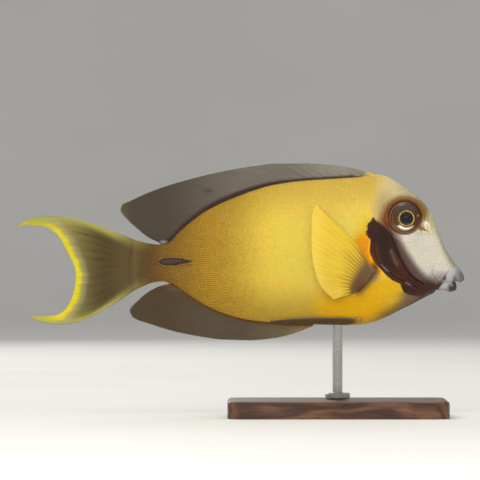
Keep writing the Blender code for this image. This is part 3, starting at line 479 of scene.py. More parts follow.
# Creases of the gill cover: the plate in front, and the narrow plate along its lower edge.
CHEEK_CREASE = [
    (60.0, 11.6), (61.2, 7.8), (63.3, 2.8), (65.8, -2.0), (68.6, -5.6), (73.0, -8.8),
]
LOWER_CREASE = [
    (53.4, 6.0), (54.4, 1.6), (56.6, -1.4), (59.6, -4.2), (63.2, -6.6), (67.0, -8.6), (70.6, -10.4),
]
# The ridge of the front plate, along which a highlight is painted.
PLATE_RIDGE = [(60.3, 4.4), (61.2, 1.8), (62.6, -0.8)]
JAW_CREASE = [(81.6, -9.4), (79.6, -8.4), (77.8, -6.2), (76.8, -3.6)]
BREAST_BRANCH = [(50.0, -12.4), (56.0, -9.0), (62.5, -9.6)]
NOSTRIL_WEDGE = [(71.6, 15.0), (73.0, 14.0), (75.0, 12.1), (73.2, 12.5), (71.0, 12.9)]
# The lips' white bands: partly their own colour, partly painted highlight.
UPPER_LIP_WHITE = [(84.8, -3.6), (84.1, -4.6), (83.5, -6.2), (83.5, -7.6)]
LOWER_LIP_WHITE = [(82.7, -7.8), (81.6, -9.6), (80.8, -10.9)]
outline = path(GILL_PATCH + GILL_PATCH[:1])
GILL_PATCH_EDGE = outline(np.linspace(0.0, 1.0, 90, endpoint=False))


def stroke_of(points, count=14):
    return path(points)(np.linspace(0.0, 1.0, count))


CHEEK_STROKE = stroke_of(CHEEK_CREASE)
LOWER_STROKE = stroke_of(LOWER_CREASE)
JAW_STROKE = stroke_of(JAW_CREASE, 8)
PLATE_STROKE = stroke_of(PLATE_RIDGE, 8)
PECTORAL_STROKE = stroke_of(PECTORAL_ROOT, 8)
BREAST_STROKE = stroke_of(BREAST_BRANCH, 8)
# Grooves in the skin, each with its depth and half its width.
CREASES = ((CHEEK_STROKE, 0.34, 0.38), (LOWER_STROKE, 0.3, 0.34), (JAW_STROKE, 0.12, 0.45))


def in_gill_opening(z):
    """1 where the gill cover's edge is free, fading to 0 above and below."""
    low, high = GILL_OPENING
    return smooth_step((z - low + 1.5) / 3.0) * smooth_step((high + 2.0 - z) / 4.0)


def skin_relief(x, z):
    """The gill cover's step, and the fold of skin at the corner of the mouth."""
    ahead = x - gill_edge(z)
    lifted = GILL_STEP_OUT * np.exp(-np.maximum(ahead, 0.0) / 3.5)
    dipped = -GILL_STEP_IN * np.exp(np.minimum(ahead, 0.0) / 2.5)
    step = in_gill_opening(z) * np.where(ahead > -GAP / 2, lifted, dipped)
    depth, along, up = MOUTH_FOLD
    away = ((x - MOUTH_CORNER[0]) / along) ** 2 + ((z - MOUTH_CORNER[1]) / up) ** 2
    return step - depth * np.exp(-away)


def no_relief(x, z):
    return np.zeros(np.shape(x))


def always(value):
    """A line that has the same value everywhere."""
    return lambda x: np.full(np.shape(x), value)


class Form:
    """The lines of one length of the body: its top, bottom and half width along x."""

    def __init__(self, top, bottom, half_width, level=widest, edge=ridge, relief=no_relief,
                 power=SECTION_POWER):
        self.top, self.bottom, self.half_width = top, bottom, half_width
        self.level, self.edge, self.relief, self.power = level, edge, relief, power

    def point(self, x, angle):
        """Height and half width at x, at an angle up from the widest level, in radians."""
        level = np.clip(self.level(x), self.bottom(x) + 0.2, self.top(x) - 0.2)
        above = (self.top(x) - level) * np.sin(angle)
        below = (level - self.bottom(x)) * np.sin(angle)
        z = level + np.where(angle > 0, above, below)
        edge = self.edge(x)
        lean = np.maximum(np.cos(angle), 0.0) ** self.power
        y = edge + np.maximum(self.half_width(x) - edge, 0.0) * lean
        return z, y + self.relief(x, z) * lean

    def side(self, x, z):
        """Half width at a place seen from the side."""
        level = self.level(x)
        high = np.where(z > level, self.top(x) - level, level - self.bottom(x))
        rise = np.clip((z - level) / high, -1.0, 1.0)
        lean = np.sqrt(1 - rise * rise) ** self.power
        return self.edge(x) + (self.half_width(x) - self.edge(x)) * lean


body_form = Form(back, belly, width, relief=skin_relief)
blade_top, blade_bottom = line(BLADE_TOP), line(BLADE_BOTTOM)


def from_blade(x, z):
    """How far outside the outline of the tail's blade a place lies, below 0 inside it."""
    past = np.maximum(BLADE_TOP[0][0] - x, x - BLADE_TOP[-1][0])
    return np.maximum(past, np.maximum(z - blade_top(x), blade_bottom(x) - z))


def crease(away, depth, reach):
    """A groove with a low roll on each side of it."""
    return depth * (0.35 * bump(away - 2 * reach, reach) - bump(away, reach))


def fine_relief(x, z):
    """The small forms of the skin, as heights along its own outward direction."""
    eye = np.hypot(x - EYE_CENTRE[0], z - EYE_CENTRE[1])
    (radius, reach, height), (outer, soft, low) = ORBIT_ROLLS
    rise = height * bump(eye - radius, reach) + low * bump(eye - outer, soft)
    rise = rise - SOCKET_DEPTH * (1 - smooth_step((eye - 5.6) / 1.2))
    for stroke, depth, reach in CREASES:
        rise = rise + crease(from_stroke(stroke, x, z), depth, reach)
    lip_fold = bump(x - lip_edge(z) + 0.4, 0.5) * smooth_step((-2.4 - z) / 1.5)
    rise = rise - 0.45 * lip_fold * smooth_step((x - 76.0) / 2.0)
    for middle_x, middle_z, size in NOSTRILS:
        away = np.hypot(x - middle_x, z - middle_z)
        rise = rise + 0.22 * bump(away - 1.35 * size, 0.4) - 0.9 * bump(away, 0.75 * size)
    rise = rise + 0.26 * oval(x, z, (74.0, 15.5), (0.9, 0.8), 0.8)
    rise = rise + 1.05 * bump(from_stroke(PECTORAL_STROKE, x, z), 1.9)
    blade = from_blade(x, z)
    rise = rise - 0.5 * smooth_step((0.3 - blade) / 0.5) + 0.2 * bump(blade - 0.5, 0.35)
    head = smooth_step((x - 66.0) / 10.0)
    return rise + 0.06 * head * (mottle(x, z, 1.5, 3) - 0.5) + 0.05 * (mottle(x, z, 2.6, 5) - 0.5)


def skin_surface(x, angle):
    """Places on the left half of the skin, in millimetres, and the outward direction there."""
    step_x, step_angle = 0.15, 0.004

    def base(x, angle):
        z, y = body_form.point(x, angle)
        return np.stack([np.broadcast_to(x, z.shape), y, z], axis=-1)

    turned = np.clip(angle + step_angle, -math.pi / 2, math.pi / 2)
    unturned = np.clip(angle - step_angle, -math.pi / 2, math.pi / 2)
    along = base(x + step_x, angle) - base(x - step_x, angle)
    around = base(x, turned) - base(x, unturned)
    outward = np.cross(around, along)
    outward = outward / np.maximum(np.linalg.norm(outward, axis=-1, keepdims=True), 1e-9)
    place = base(x, angle)
    lift = fine_relief(place[..., 0], place[..., 2]) - COAT_DEPTH
    return place + outward * lift[..., None], outward


def even_angles(turns, x=30.0):
    """Angles from the belly to the back, spread evenly along the section of the body at x."""
    angle = np.linspace(-math.pi / 2, math.pi / 2, 721)
    z, y = body_form.point(np.full(angle.shape, x), angle)
    length = np.concatenate([[0.0], np.cumsum(np.hypot(np.diff(z), np.diff(y)))])
    return np.interp(np.linspace(0.0, length[-1], turns + 1), length, angle)


# Markings of the body: colours and their shares, at places in millimetres seen from the side.
def flank_tint(x, z):
    """The yellow of the flank, ochre towards back and belly and brown towards the tail, partly
    painted shade.
    """
    middle = widest(x)
    up = (z - middle) / np.maximum(back(x) - middle, 1.0)
    down = (middle - z) / np.maximum(middle - belly(x), 1.0)
    rim = np.maximum(up, down)
    share = 0.8 * (1 - 0.7 * ramp(rim, 0.6, 1.0))
    return layered(plain(MID_YELLOW, x), [
        (FRONT_YELLOW, ramp(x, 12.0, 38.0)),
        # Ochre towards back and belly: partly the flank's own colour, partly painted shade where it
        # turns away.
        (UPPER_OCHRE, 0.85 * ramp(up, 0.35, 0.95)),
        (LOWER_OCHRE, 0.85 * ramp(down, 0.3, 0.9)),
        # Ochre and brown towards the tail: the fish's own colours, with painted shade as the light
        # falls off.
        (REAR_OCHRE, 0.95 * ramp(x, 17.0, -11.0)),
        (REAR_BROWN, 0.85 * ramp(x, -8.0, -30.0)),
        (STALK_BROWN, ramp(x, -26.0, -38.0)),
        (STALK_REAR, ramp(x, -35.0, -42.0)),
        (TAIL_EDGE, 0.5 * ramp(x, -34.0, -41.0) * ramp(rim, 0.5, 1.0)),
        (TAIL_ROOT_BROWN, share * ramp(x, -41.4, -43.8)),
    ])


def belly_and_gill_tint(tint, x, z):
    """The orange behind the gill cover and along the breast."""
    behind = np.maximum(gill_edge(z) - x, 0.0)
    along_edge = ramp(z, -8.0, -3.0) * ramp(z, 21.0, 13.0)
    strong = ramp(z, -6.0, -2.0) * ramp(z, 14.0, 8.0)
    return layered(tint, [
        (GOLD_YELLOW, 0.9 * along_edge * ramp(behind, 9.5, 2.0)),
        (GILL_ORANGE, strong * ramp(behind, 8.2, 3.8)),
        (BELLY_ORANGE, oval(x, z, (45.0, -17.2), (13.5, 7.0), 0.55)),
        (BELLY_ORANGE, 0.85 * bump(from_stroke(BREAST_STROKE, x, z), 3.4)),
        (GOLD_YELLOW, 0.6 * oval(x, z, (61.5, -13.0), (5.4, 3.6), 0.7)),
        (TEMPLE_TAN, 0.6 * oval(x, z, (53.4, -6.0), (2.2, 1.6), 0.7)),
        (GILL_WARM, 0.85 * oval(x, z, (53.6, -2.2), (1.6, 2.2), 0.8)),
    ])


def head_tint(tint, x, z):
    """Cream cheek and forehead, olive brow and snout, a tan chin, and painted shade along the
    underside.
    """
    ahead = x - line(CREAM_EDGE)(z)
    head = smooth_step((ahead + 2.6 + ramp(z, 16.0, 24.0)) / 6.0)
    cheek = head * ramp(z, 14.5, 9.5)
    from_top = back(x) - z
    brow = ramp(from_top, 8.0, 0.0) * ramp(x, 60.0, 69.0)
    snout = ramp(from_top, 4.5, 0.0) * ramp(x, 76.0, 82.0)
    chin = ramp(x, 60.0, 68.0) * ramp(z, -10.6, -13.1)
    from_bottom = z - belly(x)
    throat_shade = ramp(from_bottom, 5.4, 0.8) * ramp(x, 50.0, 59.0)
    rim = ramp(from_bottom, 1.5, 0.1) * ramp(x, 62.0, 70.0)
    return layered(tint, [
        (NAPE_CREAM, head),
        (FOREHEAD_CREAM, head * ramp(x, 57.0, 65.0)),
        (CHEEK_CREAM, cheek),
        (LOW_CHEEK, cheek * ramp(z, -1.0, -8.0)),
        (BROW_OLIVE, 0.85 * head * brow),
        (SNOUT_OLIVE, 0.8 * snout),
        (TEMPLE_TAN, 0.75 * oval(x, z, (57.4, 20.6), (3.4, 6.4), 0.8)),
        (CHIN_TAN, 0.9 * chin),
        # Painted shade along the underside: the throat's tan brown, and dark grey at the lowest edge.
        (THROAT_BROWN, 0.75 * throat_shade),
        (CHIN_GREY, 0.95 * rim),
        (MUZZLE_BROWN, 0.75 * oval(x, z, (79.0, -7.6), (4.8, 3.0), 0.7)),
    ])


def eye_halo_tint(tint, x, z):
    """The brown and gold halo round the eye, and the brown wedge and white flap of the nostril."""
    away = np.hypot(x - EYE_CENTRE[0], z - EYE_CENTRE[1])
    turn = np.degrees(np.arctan2(z - EYE_CENTRE[1], x - EYE_CENTRE[0]))
    front = bump(turn - 24.0, 36.0)
    rear = np.maximum(bump(turn - 180.0, 62.0), bump(turn + 180.0, 52.0))
    top = bump(turn - 95.0, 50.0)
    reach = 1.0 + 2.9 * front + 3.0 * rear + 1.4 * top
    share = smooth_step((7.2 + reach - away) / reach)
    strength = np.clip(1.1 * front + 1.2 * rear + 0.95 * top, 0.0, 1.0)
    near = ramp(away, 8.0, 6.6) * (0.5 + 0.5 * strength)
    wedge = from_stroke(NOSTRIL_WEDGE, x, z, closed=True)
    return layered(tint, [
        (HALO_RUST, share * strength),
        (HALO_GOLD, 0.75 * share * np.maximum(front, 0.6 * top)),
        (HALO_BROWN, 0.9 * near),
        (IRIS_DARK, 0.7 * ramp(away, 7.0, 6.6)),
        (HALO_RUST, 0.85 * smooth_step(wedge / 0.5 + 0.55)),
        (NOSTRIL_AND_HIGHLIGHT_WHITE, oval(x, z, (74.3, 15.3), (1.1, 0.8), 0.4)),
    ])


def gill_patch_tint(tint, x, z):
    """The brown patch down the gill cover to the mouth, with its creases' painted shade and
    highlights.
    """
    inside = from_stroke(GILL_PATCH_EDGE, x, z, closed=True)
    torn = 0.15 + 0.75 * ramp(z, 8.0, 10.0) * ramp(x, 54.0, 52.0)
    ragged = inside + torn * (mottle(x, z, 1.1, 11) - 0.5)
    ahead = smooth_step((x - line(CREAM_EDGE)(z) - 1.0) / 4.0)
    soft = 0.3 + 1.7 * ahead
    patch = 1 - (1 - smooth_step((ragged + soft) / (2 * soft))) ** 2
    streak = bump(from_stroke(PLATE_STROKE, x, z), 0.75)
    cheek = from_stroke(CHEEK_STROKE, x, z)
    in_front = smooth_step((x - line([(b, a) for a, b in reversed(CHEEK_CREASE)])(z)) / 1.4)
    lower = bump(from_stroke(LOWER_STROKE, x, z), 0.24)
    glint = ramp(x, 55.6, 56.6) * ramp(x, 60.0, 58.0)
    glint = np.maximum(glint, ramp(x, 65.4, 66.4) * ramp(x, 68.6, 67.6))
    brown = layered(plain(GILL_BROWN, x), [
        (GILL_DARK, oval(x, z, (57.0, 6.0), (4.4, 8.5), 0.6)),
        (GILL_WARM, 0.75 * oval(x, z, (54.2, 1.6), (1.9, 4.6), 0.6)),
        (GILL_WARM, 0.4 * oval(x, z, (66.0, -3.8), (3.6, 3.8), 0.7)),
        # Painted highlight along the ridge of the plate.
        (PLATE_HIGHLIGHT, 0.62 * streak),
        (CREASE_BROWN, in_front),
        (GILL_BROWN, 0.9 * oval(x, z, (74.6, -10.4), (5.4, 3.0), 0.5)),
        # Painted shade in the groove of the cheek crease.
        (GILL_DARK, 0.9 * bump(cheek, 0.8)),
        # Painted highlights along the lower crease.
        (NOSTRIL_AND_HIGHLIGHT_WHITE, 0.42 * lower * glint),
    ])
    bare = 1 - patch
    tint = tint + (brown - tint) * patch[..., None]
    return layered(tint, [
        (HALO_RUST, 0.8 * bare * oval(x, z, (58.4, 15.4), (3.2, 3.0), 0.8)),
        (HALO_BROWN, 0.9 * bare * oval(x, z, (60.6, 12.8), (3.2, 2.6), 0.8)),
    ])


def flesh_tint(x, z):
    """The colour of the skin and of its scales at a place seen from the side."""
    x, z = np.asarray(x, float), np.asarray(z, float)
    tint = belly_and_gill_tint(flank_tint(x, z), x, z)
    tint = gill_patch_tint(eye_halo_tint(head_tint(tint, x, z), x, z), x, z)
    on_dorsal = smooth_step((x - DORSAL_ROOT[0]) / 2.0) * smooth_step((DORSAL_ROOT[1] - x) / 6.0)
    on_anal = smooth_step((x - ANAL_ROOT[0]) / 2.0) * smooth_step((ANAL_ROOT[1] - x) / 3.0)
    return layered(tint, [
        (PECTORAL_BASE, 0.85 * bump(from_stroke(PECTORAL_STROKE, x, z), 1.7)),
        (STALK_BROWN, 0.55 * ramp(from_blade(x, z), 1.6, 0.4)),
        (SPINE_BROWN, ramp(from_blade(x, z), 0.35, 0.0)),
        (ROOT_PURPLE, on_dorsal * ramp(back(x) - z, 0.9, 0.2)),
        (ROOT_BROWN, on_anal * ramp(z - belly(x), 0.7, 0.1)),
    ])


def freckled(x):
    """How freckled the skin is: strongly towards the tail, hardly on the head."""
    return 0.06 + 0.3 * ramp(x, 56.0, 46.0) + 0.64 * ramp(x, 20.0, -20.0)


def lip_tint(tint, x, z):
    """Lips white at the rear, grey in front and dark in the notch, partly by painted highlight and
    shade.
    """
    ahead = x - lip_edge(z)
    lip = ramp(ahead, -0.15, 0.25)
    lower = ramp(x, 82.6, 84.0) * ramp(z, -7.9, -8.6)
    upper_white = ramp(from_stroke(UPPER_LIP_WHITE, x, z), 2.1, 0.5)
    lower_white = ramp(from_stroke(LOWER_LIP_WHITE, x, z), 1.6, 0.5)
    notch = bump(z - line(MOUTH_LINE)(x) - 0.1, 0.25) * ramp(x, 84.8, 86.0)
    fold = bump(ahead + 0.4, 0.38) * ramp(z, -2.6, -4.0) * ramp(z, -7.4, -6.8)
    return layered(tint, [
        (SNOUT_OLIVE, 0.8 * ramp(x, 82.5, 85.5) * ramp(z, -3.6, -1.6)),
        # Grey: partly the lip's own colour, partly painted shade where it turns away, darker towards
        # the tip.
        (LIP_GREY, lip * ramp(z, -1.6, -3.6)),
        (LIP_SHADE, ramp(x, 86.2, 88.6) * ramp(z, -2.6, -4.6)),
        # Painted shadow under the upper lip, on the lower lip's front.
        (LIP_SHADOW, 0.95 * lower),
        (LIP_SHADOW, 0.6 * oval(x, z, (85.6, -7.4), (1.0, 1.6), 0.7)),
        # White bands: partly the lips' own colour, partly a painted highlight on their roll.
        (LIP_WHITE, lip * upper_white),
        (LIP_WHITE, 0.85 * lip * lower_white),
        # Painted highlights.
        (LIP_HIGHLIGHT, 0.7 * oval(x, z, (84.4, -9.2), (0.9, 0.5), 0.7)),
        (LIP_HIGHLIGHT, 0.7 * oval(x, z, (88.2, -7.9), (1.5, 0.35), 0.7)),
        # Painted shade in the notch between the lips and in the folds behind them.
        (NOTCH_SHADOW, 0.5 * notch),
        (FOLD_SHADE_BROWN, 0.45 * fold),
        (FOLD_SHADE_BROWN, 0.85 * oval(x, z, (81.7, -6.3), (0.55, 0.9), 0.8)),
    ])


# Meshes.
def new_object(name, corners, faces, edges=()):
    """An object at the origin from corners in millimetres measured from the fish's axis."""
    placed = (np.asarray(corners, float) + [0.0, 0.0, AXIS_HEIGHT]) * MM
    mesh = bpy.data.meshes.new(name)
    mesh.from_pydata(placed.tolist(), list(edges), faces)
    made = bpy.data.objects.new(name, mesh)
    bpy.context.scene.collection.objects.link(made)
    return made


def turn_outward(mesh):
    shape = bmesh.new()
    shape.from_mesh(mesh)
    bmesh.ops.recalc_face_normals(shape, faces=shape.faces)
    shape.to_mesh(mesh)
    shape.free()


def store(mesh, name, values, kind="FLOAT_VECTOR", field="vector"):
    """Stores a value at each corner of a mesh under a name that a node tree can read."""
    layer = mesh.attributes.new(name, kind, "POINT")
    layer.data.foreach_set(field, np.asarray(values).astype(np.float32).ravel())


def paint(mesh, tint, freckles=0.0):
    """Stores a linear colour at each corner of a mesh, with how freckled it is as its alpha."""
    share = np.broadcast_to(freckles, len(tint))[:, None]
    store(mesh, "tint", np.concatenate([deepened(tint), share], axis=1), "FLOAT_COLOR", "color")


def corners_of(mesh):
    """Corners of a finished mesh, in millimetres from the fish's axis."""
    flat = np.empty(len(mesh.vertices) * 3, np.float32)
    mesh.vertices.foreach_get("co", flat)
    return flat.reshape(-1, 3).astype(float) / MM - [0.0, 0.0, AXIS_HEIGHT]


def tube_faces(lengths, around):
    """The faces of a closed tube of rings, with a row of quads across each flat end."""
    faces = []
    for i in range(lengths):
        here, ahead = i * around, (i + 1) * around
        for k in range(around):
            after = (k + 1) % around
            faces.append((here + k, ahead + k, ahead + after, here + after))
    for start in (0, lengths * around):
        for k in range(around // 2 - 1):
            across = around - 1 - k
            faces.append((start + k, start + k + 1, start + across - 1, start + across))
    return faces


def both_halves(half):
    """Rings from the left half's places: up its side, then down the mirrored one."""
    mirrored = half[:, ::-1] * [1.0, -1.0, 1.0]
    return np.concatenate([half, mirrored], axis=1)


def make_body_mesh():
    """The body from the tail fin to the lips as one closed tube whose rings follow the gill edge."""
    body = np.linspace(0.0, 1.0, BODY_STATIONS + 1)
    head = np.linspace(1.0, 2.0, HEAD_STATIONS + 1)[1:]
    body[-1] = 1.0 - GILL_RING
    share = np.concatenate([body, [1.0], head])
    angle = even_angles(SKIN_TURNS)
    share, angle = np.meshgrid(share, angle, indexing="ij")
    x = np.full(share.shape, 20.0)
    for _ in range(EDGE_SEARCH):
        z = body_form.point(x, angle)[0]
        rear = tail_fin_edge(z) + (gill_edge(z) - tail_fin_edge(z)) * share
        front = gill_edge(z) + (lip_edge(z) - gill_edge(z)) * (share - 1)
        x = 0.5 * x + 0.5 * np.where(share < 1, rear, front)
    half = skin_surface(x, angle)[0]
    end = smooth_step((x - tail_fin_edge(half[..., 2])) / 1.2)
    half[..., 1] *= 0.93 + 0.07 * end
    half[..., 1] = np.maximum(half[..., 1], 0.15)
    rings = both_halves(half)
    faces = tube_faces(len(rings) - 1, rings.shape[1])
    return new_object("skin", rings.reshape(-1, 3), faces)


def lip_mesh(name, form, front, lengths, turns):
    """A lip as one closed tube that starts a little inside the head."""
    share = np.linspace(0.0, 1.0, lengths + 1)
    angle = np.linspace(-math.pi / 2, math.pi / 2, turns + 1)
    share, angle = np.meshgrid(share, angle, indexing="ij")
    x = np.full(share.shape, 84.0)
    for _ in range(EDGE_SEARCH):
        z, y = form.point(x, angle)
        rear = lip_edge(z) - LIP_ROOT
        x = 0.5 * x + 0.5 * (rear + (front(z) - rear) * share)
    z, y = form.point(x, angle)
    tucked = 1 - smooth_step((x - lip_edge(z) + 0.9) / 0.9)
    y = np.maximum(y * (1 - 0.3 * tucked) - COAT_DEPTH, 0.1)
    middle = form.level(x)
    z = middle + (z - middle) * (1 - 0.12 * tucked)
    rings = both_halves(np.stack([x, y, z], axis=-1))
    return new_object(name, rings.reshape(-1, 3), tube_faces(lengths, rings.shape[1]))


def lip_form(top, bottom, nose, edge=ridge):
    """A length as wide as a share of the body, which closes in a round nose at its tip."""
    share, reach, tip, middle = nose

    def half(x):
        along = np.clip((x - tip + reach) / reach, 0.0, 0.98)
        return share * width(x) * np.sqrt(1 - along * along)

    return Form(top, bottom, half, level=always(middle), edge=edge, power=LIP_POWER)


def united(target, others):
    """Joins closed meshes into one by an exact union, and removes the others."""
    holder = bpy.data.collections.new("joined")
    bpy.context.scene.collection.children.link(holder)
    for other in others:
        bpy.context.scene.collection.objects.unlink(other)
        holder.objects.link(other)
    modifier = target.modifiers.new("union", "BOOLEAN")
    modifier.operation = "UNION"
    modifier.solver = "EXACT"
    modifier.operand_type = "COLLECTION"
    modifier.collection = holder
    mesh = evaluated_mesh(target)
    target.modifiers.clear()
    target.data = mesh
    for other in others:
        bpy.data.objects.remove(other)
    bpy.data.collections.remove(holder)


def evaluated_mesh(source):
    """The mesh that an object's modifiers make."""
    bpy.context.view_layer.update()
    graph = bpy.context.evaluated_depsgraph_get()
    return bpy.data.meshes.new_from_object(source.evaluated_get(graph))


def soften(mesh, chosen, turns):
    """Rounds off the corners of a mesh that a test of their place chooses."""
    shape = bmesh.new()
    shape.from_mesh(mesh)
    shape.verts.ensure_lookup_table()
    picked = [shape.verts[i] for i in np.nonzero(chosen)[0]]
    for _ in range(turns):
        bmesh.ops.smooth_vert(
            shape, verts=picked, factor=0.5, use_axis_x=True, use_axis_y=True, use_axis_z=True
        )
    shape.to_mesh(mesh)
    shape.free()


def make_skin():
    """One skin from the tail fin to the lips, painted by the place of each corner."""
    skin = make_body_mesh()
    upper = lip_form(back, line(MOUTH_LINE), UPPER_LIP_NOSE)
    lower = lip_form(
        line(LOWER_LIP_TOP), line(LOWER_LIP_BOTTOM), LOWER_LIP_NOSE, edge=always(LOWER_LIP_RIDGE)
    )
    lips = [
        lip_mesh("upper_lip_form", upper, line(UPPER_LIP_FRONT), *LIP_FINENESS[0]),
        lip_mesh("lower_lip_form", lower, line(LOWER_LIP_FRONT), *LIP_FINENESS[1]),
    ]
    united(skin, lips)
    x, _, z = corners_of(skin.data).T
    reach, rear, turns = LIP_SEAM
    soften(skin.data, (np.abs(x - lip_edge(z)) < reach) & (x > rear), turns)
    reach, rear, front, turns = MOUTH_CLEFT
    soften(skin.data, (np.abs(z - line(MOUTH_LINE)(x)) < reach) & (x > rear) & (x < front), turns)
    turn_outward(skin.data)
    x, _, z = corners_of(skin.data).T
    paint(skin.data, lip_tint(flesh_tint(x, z), x, z), freckled(x))
    skin.data.shade_smooth()
    return skin


# Node trees.
class Recipe:
    """Writes a node tree one node at a time, joining or setting what feeds each."""

    def __init__(self, tree):
        self.tree = tree

    def feed(self, node, feeds):
        """Joins or sets the inputs of a node, by their names or numbers."""
        for name, value in feeds.items():
            socket = node.inputs[name]
            if isinstance(value, bpy.types.NodeSocket):
                self.tree.links.new(value, socket)
            else:
                socket.default_value = value

    def node(self, kind, feeds=None, **settings):
        made = self.tree.nodes.new(kind)
        for name, value in settings.items():
            setattr(made, name, value)
        self.feed(made, feeds or {})
        return made

    def shape(self, kind, feeds=None, **settings):
        return self.node("GeometryNode" + kind, feeds, **settings).outputs[0]

    def place(self):
        """Where a point lies in its object, in metres."""
        return self.node("ShaderNodeTexCoord").outputs["Object"]

    def stored(self, name, output="Color"):
        return self.node("ShaderNodeAttribute", attribute_name=name).outputs[output]

    def maths(self, operation, first, second=0.0):
        return self.node("ShaderNodeMath", {0: first, 1: second}, operation=operation).outputs[0]

    def vectors(self, operation, first, second):
        feeds = {0: first, 1: second}
        return self.node("ShaderNodeVectorMath", feeds, operation=operation).outputs[0]

    def noise(self, place, scale, detail=2.0, roughness=0.5):
        feeds = {"Vector": place, "Scale": scale, "Detail": detail, "Roughness": roughness}
        return self.node("ShaderNodeTexNoise", feeds).outputs["Fac"]

    def stretched(self, place, scale):
        return self.node("ShaderNodeMapping", {"Vector": place, "Scale": scale}).outputs["Vector"]

    def span(self, value, low, high, to_low, to_high):
        feeds = {
            "Value": value, "From Min": low, "From Max": high, "To Min": to_low, "To Max": to_high,
        }
        return self.node("ShaderNodeMapRange", feeds).outputs["Result"]

    def shaded(self, tint, shade):
        """A colour made lighter or darker by a number about 1."""
        feeds = {"Red": shade, "Green": shade, "Blue": shade}
        grey = self.node("ShaderNodeCombineColor", feeds).outputs[0]
        return self.mixed(1.0, tint, grey, "MULTIPLY")

    def mixed(self, share, first, second, blend="MIX"):
        feeds = {0: share, 6: first, 7: second}
        return self.node("ShaderNodeMix", feeds, data_type="RGBA", blend_type=blend).outputs[2]

    def bumped(self, height, strength, distance):
        feeds = {"Height": height, "Strength": strength, "Distance": distance}
        return self.node("ShaderNodeBump", feeds).outputs["Normal"]


def finish_of(name, feeds):
    """A new material whose shader takes the given values, and the recipe of its tree."""
    made = bpy.data.materials.new(name)
    made.use_nodes = True
    recipe = Recipe(made.node_tree)
    shader = made.node_tree.nodes["Principled BSDF"]
    recipe.feed(shader, feeds)
    return made, recipe, shader


def linear(colour):
    return (*seen(colour), 1.0)


def skin_finish():
    """Satin skin: stored markings, fine freckles, and a pebbled grain under the scales."""
    made, recipe, shader = finish_of("satin_skin", {
        "Specular IOR Level": 0.42, "Coat Weight": 0.12, "Coat Roughness": 0.32,
        "Subsurface Weight": 0.06, "Subsurface Scale": 0.0012,
    })
    place = recipe.place()
    blotch = recipe.noise(place, 520.0, 3.0)
    freckle = recipe.noise(place, 1900.0, 2.0)
    tint = recipe.shaded(recipe.stored("tint"), recipe.span(blotch, 0.3, 0.7, 0.975, 1.025))
    spots = recipe.span(freckle, 0.5, 0.72, 0.0, 0.2)
    spots = recipe.maths("MULTIPLY", spots, recipe.stored("tint", "Alpha"))
    tint = recipe.mixed(spots, tint, linear(REAR_BROWN), "MULTIPLY")
    feeds = {"Vector": place, "Scale": 2300.0}
    pebbles = recipe.node("ShaderNodeTexVoronoi", feeds).outputs["Distance"]
    recipe.feed(shader, {
        "Base Color": tint, "Roughness": recipe.span(freckle, 0.3, 0.7, 0.4, 0.56),
        "Normal": recipe.bumped(pebbles, 0.16, 0.00005),
    })
    return made


def fin_finish(name, streaks, segments, roughness):
    """Fin membrane or rays: stored markings, streaks along the rays and fine cross joints."""
    made, recipe, shader = finish_of(name, {
        "Specular IOR Level": 0.4, "Coat Weight": 0.08, "Coat Roughness": 0.3,
        "Subsurface Weight": 0.05, "Subsurface Scale": 0.0008,
    })
    along = recipe.stored("fin_place", "Vector")
    place = recipe.place()
    streak = recipe.noise(recipe.stretched(along, (streaks, 2.2, 1.0)), 1.0, 4.0, 0.6)
    grain = recipe.noise(place, 1500.0, 2.0)
    tint = recipe.shaded(recipe.stored("tint"), recipe.span(streak, 0.3, 0.7, 0.87, 1.11))
    tint = recipe.shaded(tint, recipe.span(grain, 0.3, 0.7, 0.96, 1.03))
    joints = recipe.noise(recipe.stretched(along, (streaks * 0.5, segments, 1.0)), 1.0, 1.0)
    recipe.feed(shader, {
        "Base Color": tint,
        "Roughness": recipe.span(grain, 0.3, 0.7, roughness - 0.06, roughness + 0.08),
        "Normal": recipe.bumped(recipe.maths("ADD", streak, joints), 0.3, 0.00008),
    })
    return made


def eye_finish():
    """A painted iris under clear varnish, with fine gold dust and fibres."""
    made, recipe, shader = finish_of("varnished_eye", {
        "Roughness": 0.35, "Specular IOR Level": 0.4, "Coat Weight": 1.0, "Coat Roughness": 0.02,
        "Coat IOR": 1.5,
    })
    fibre = recipe.noise(recipe.place(), 1600.0, 3.0, 0.6)
    recipe.feed(shader, {
        "Base Color": recipe.shaded(recipe.stored("tint"), recipe.span(fibre, 0.3, 0.7, 0.86, 1.14)),
        "Normal": recipe.bumped(fibre, 0.12, 0.00005),
    })
    return made


def horn_finish():
    """Dull dark horn with a faint grain along the blade."""
    made, recipe, shader = finish_of("dark_horn", {"Specular IOR Level": 0.3})
    grain = recipe.noise(recipe.stretched(recipe.place(), (300.0, 1500.0, 2400.0)), 1.0, 3.0)
    recipe.feed(shader, {
        "Base Color": recipe.mixed(grain, linear(SPINE_BROWN), linear(GILL_DARK)),
        "Roughness": recipe.span(grain, 0.3, 0.7, 0.48, 0.62),
        "Normal": recipe.bumped(grain, 0.3, 0.00005),
    })
    return made


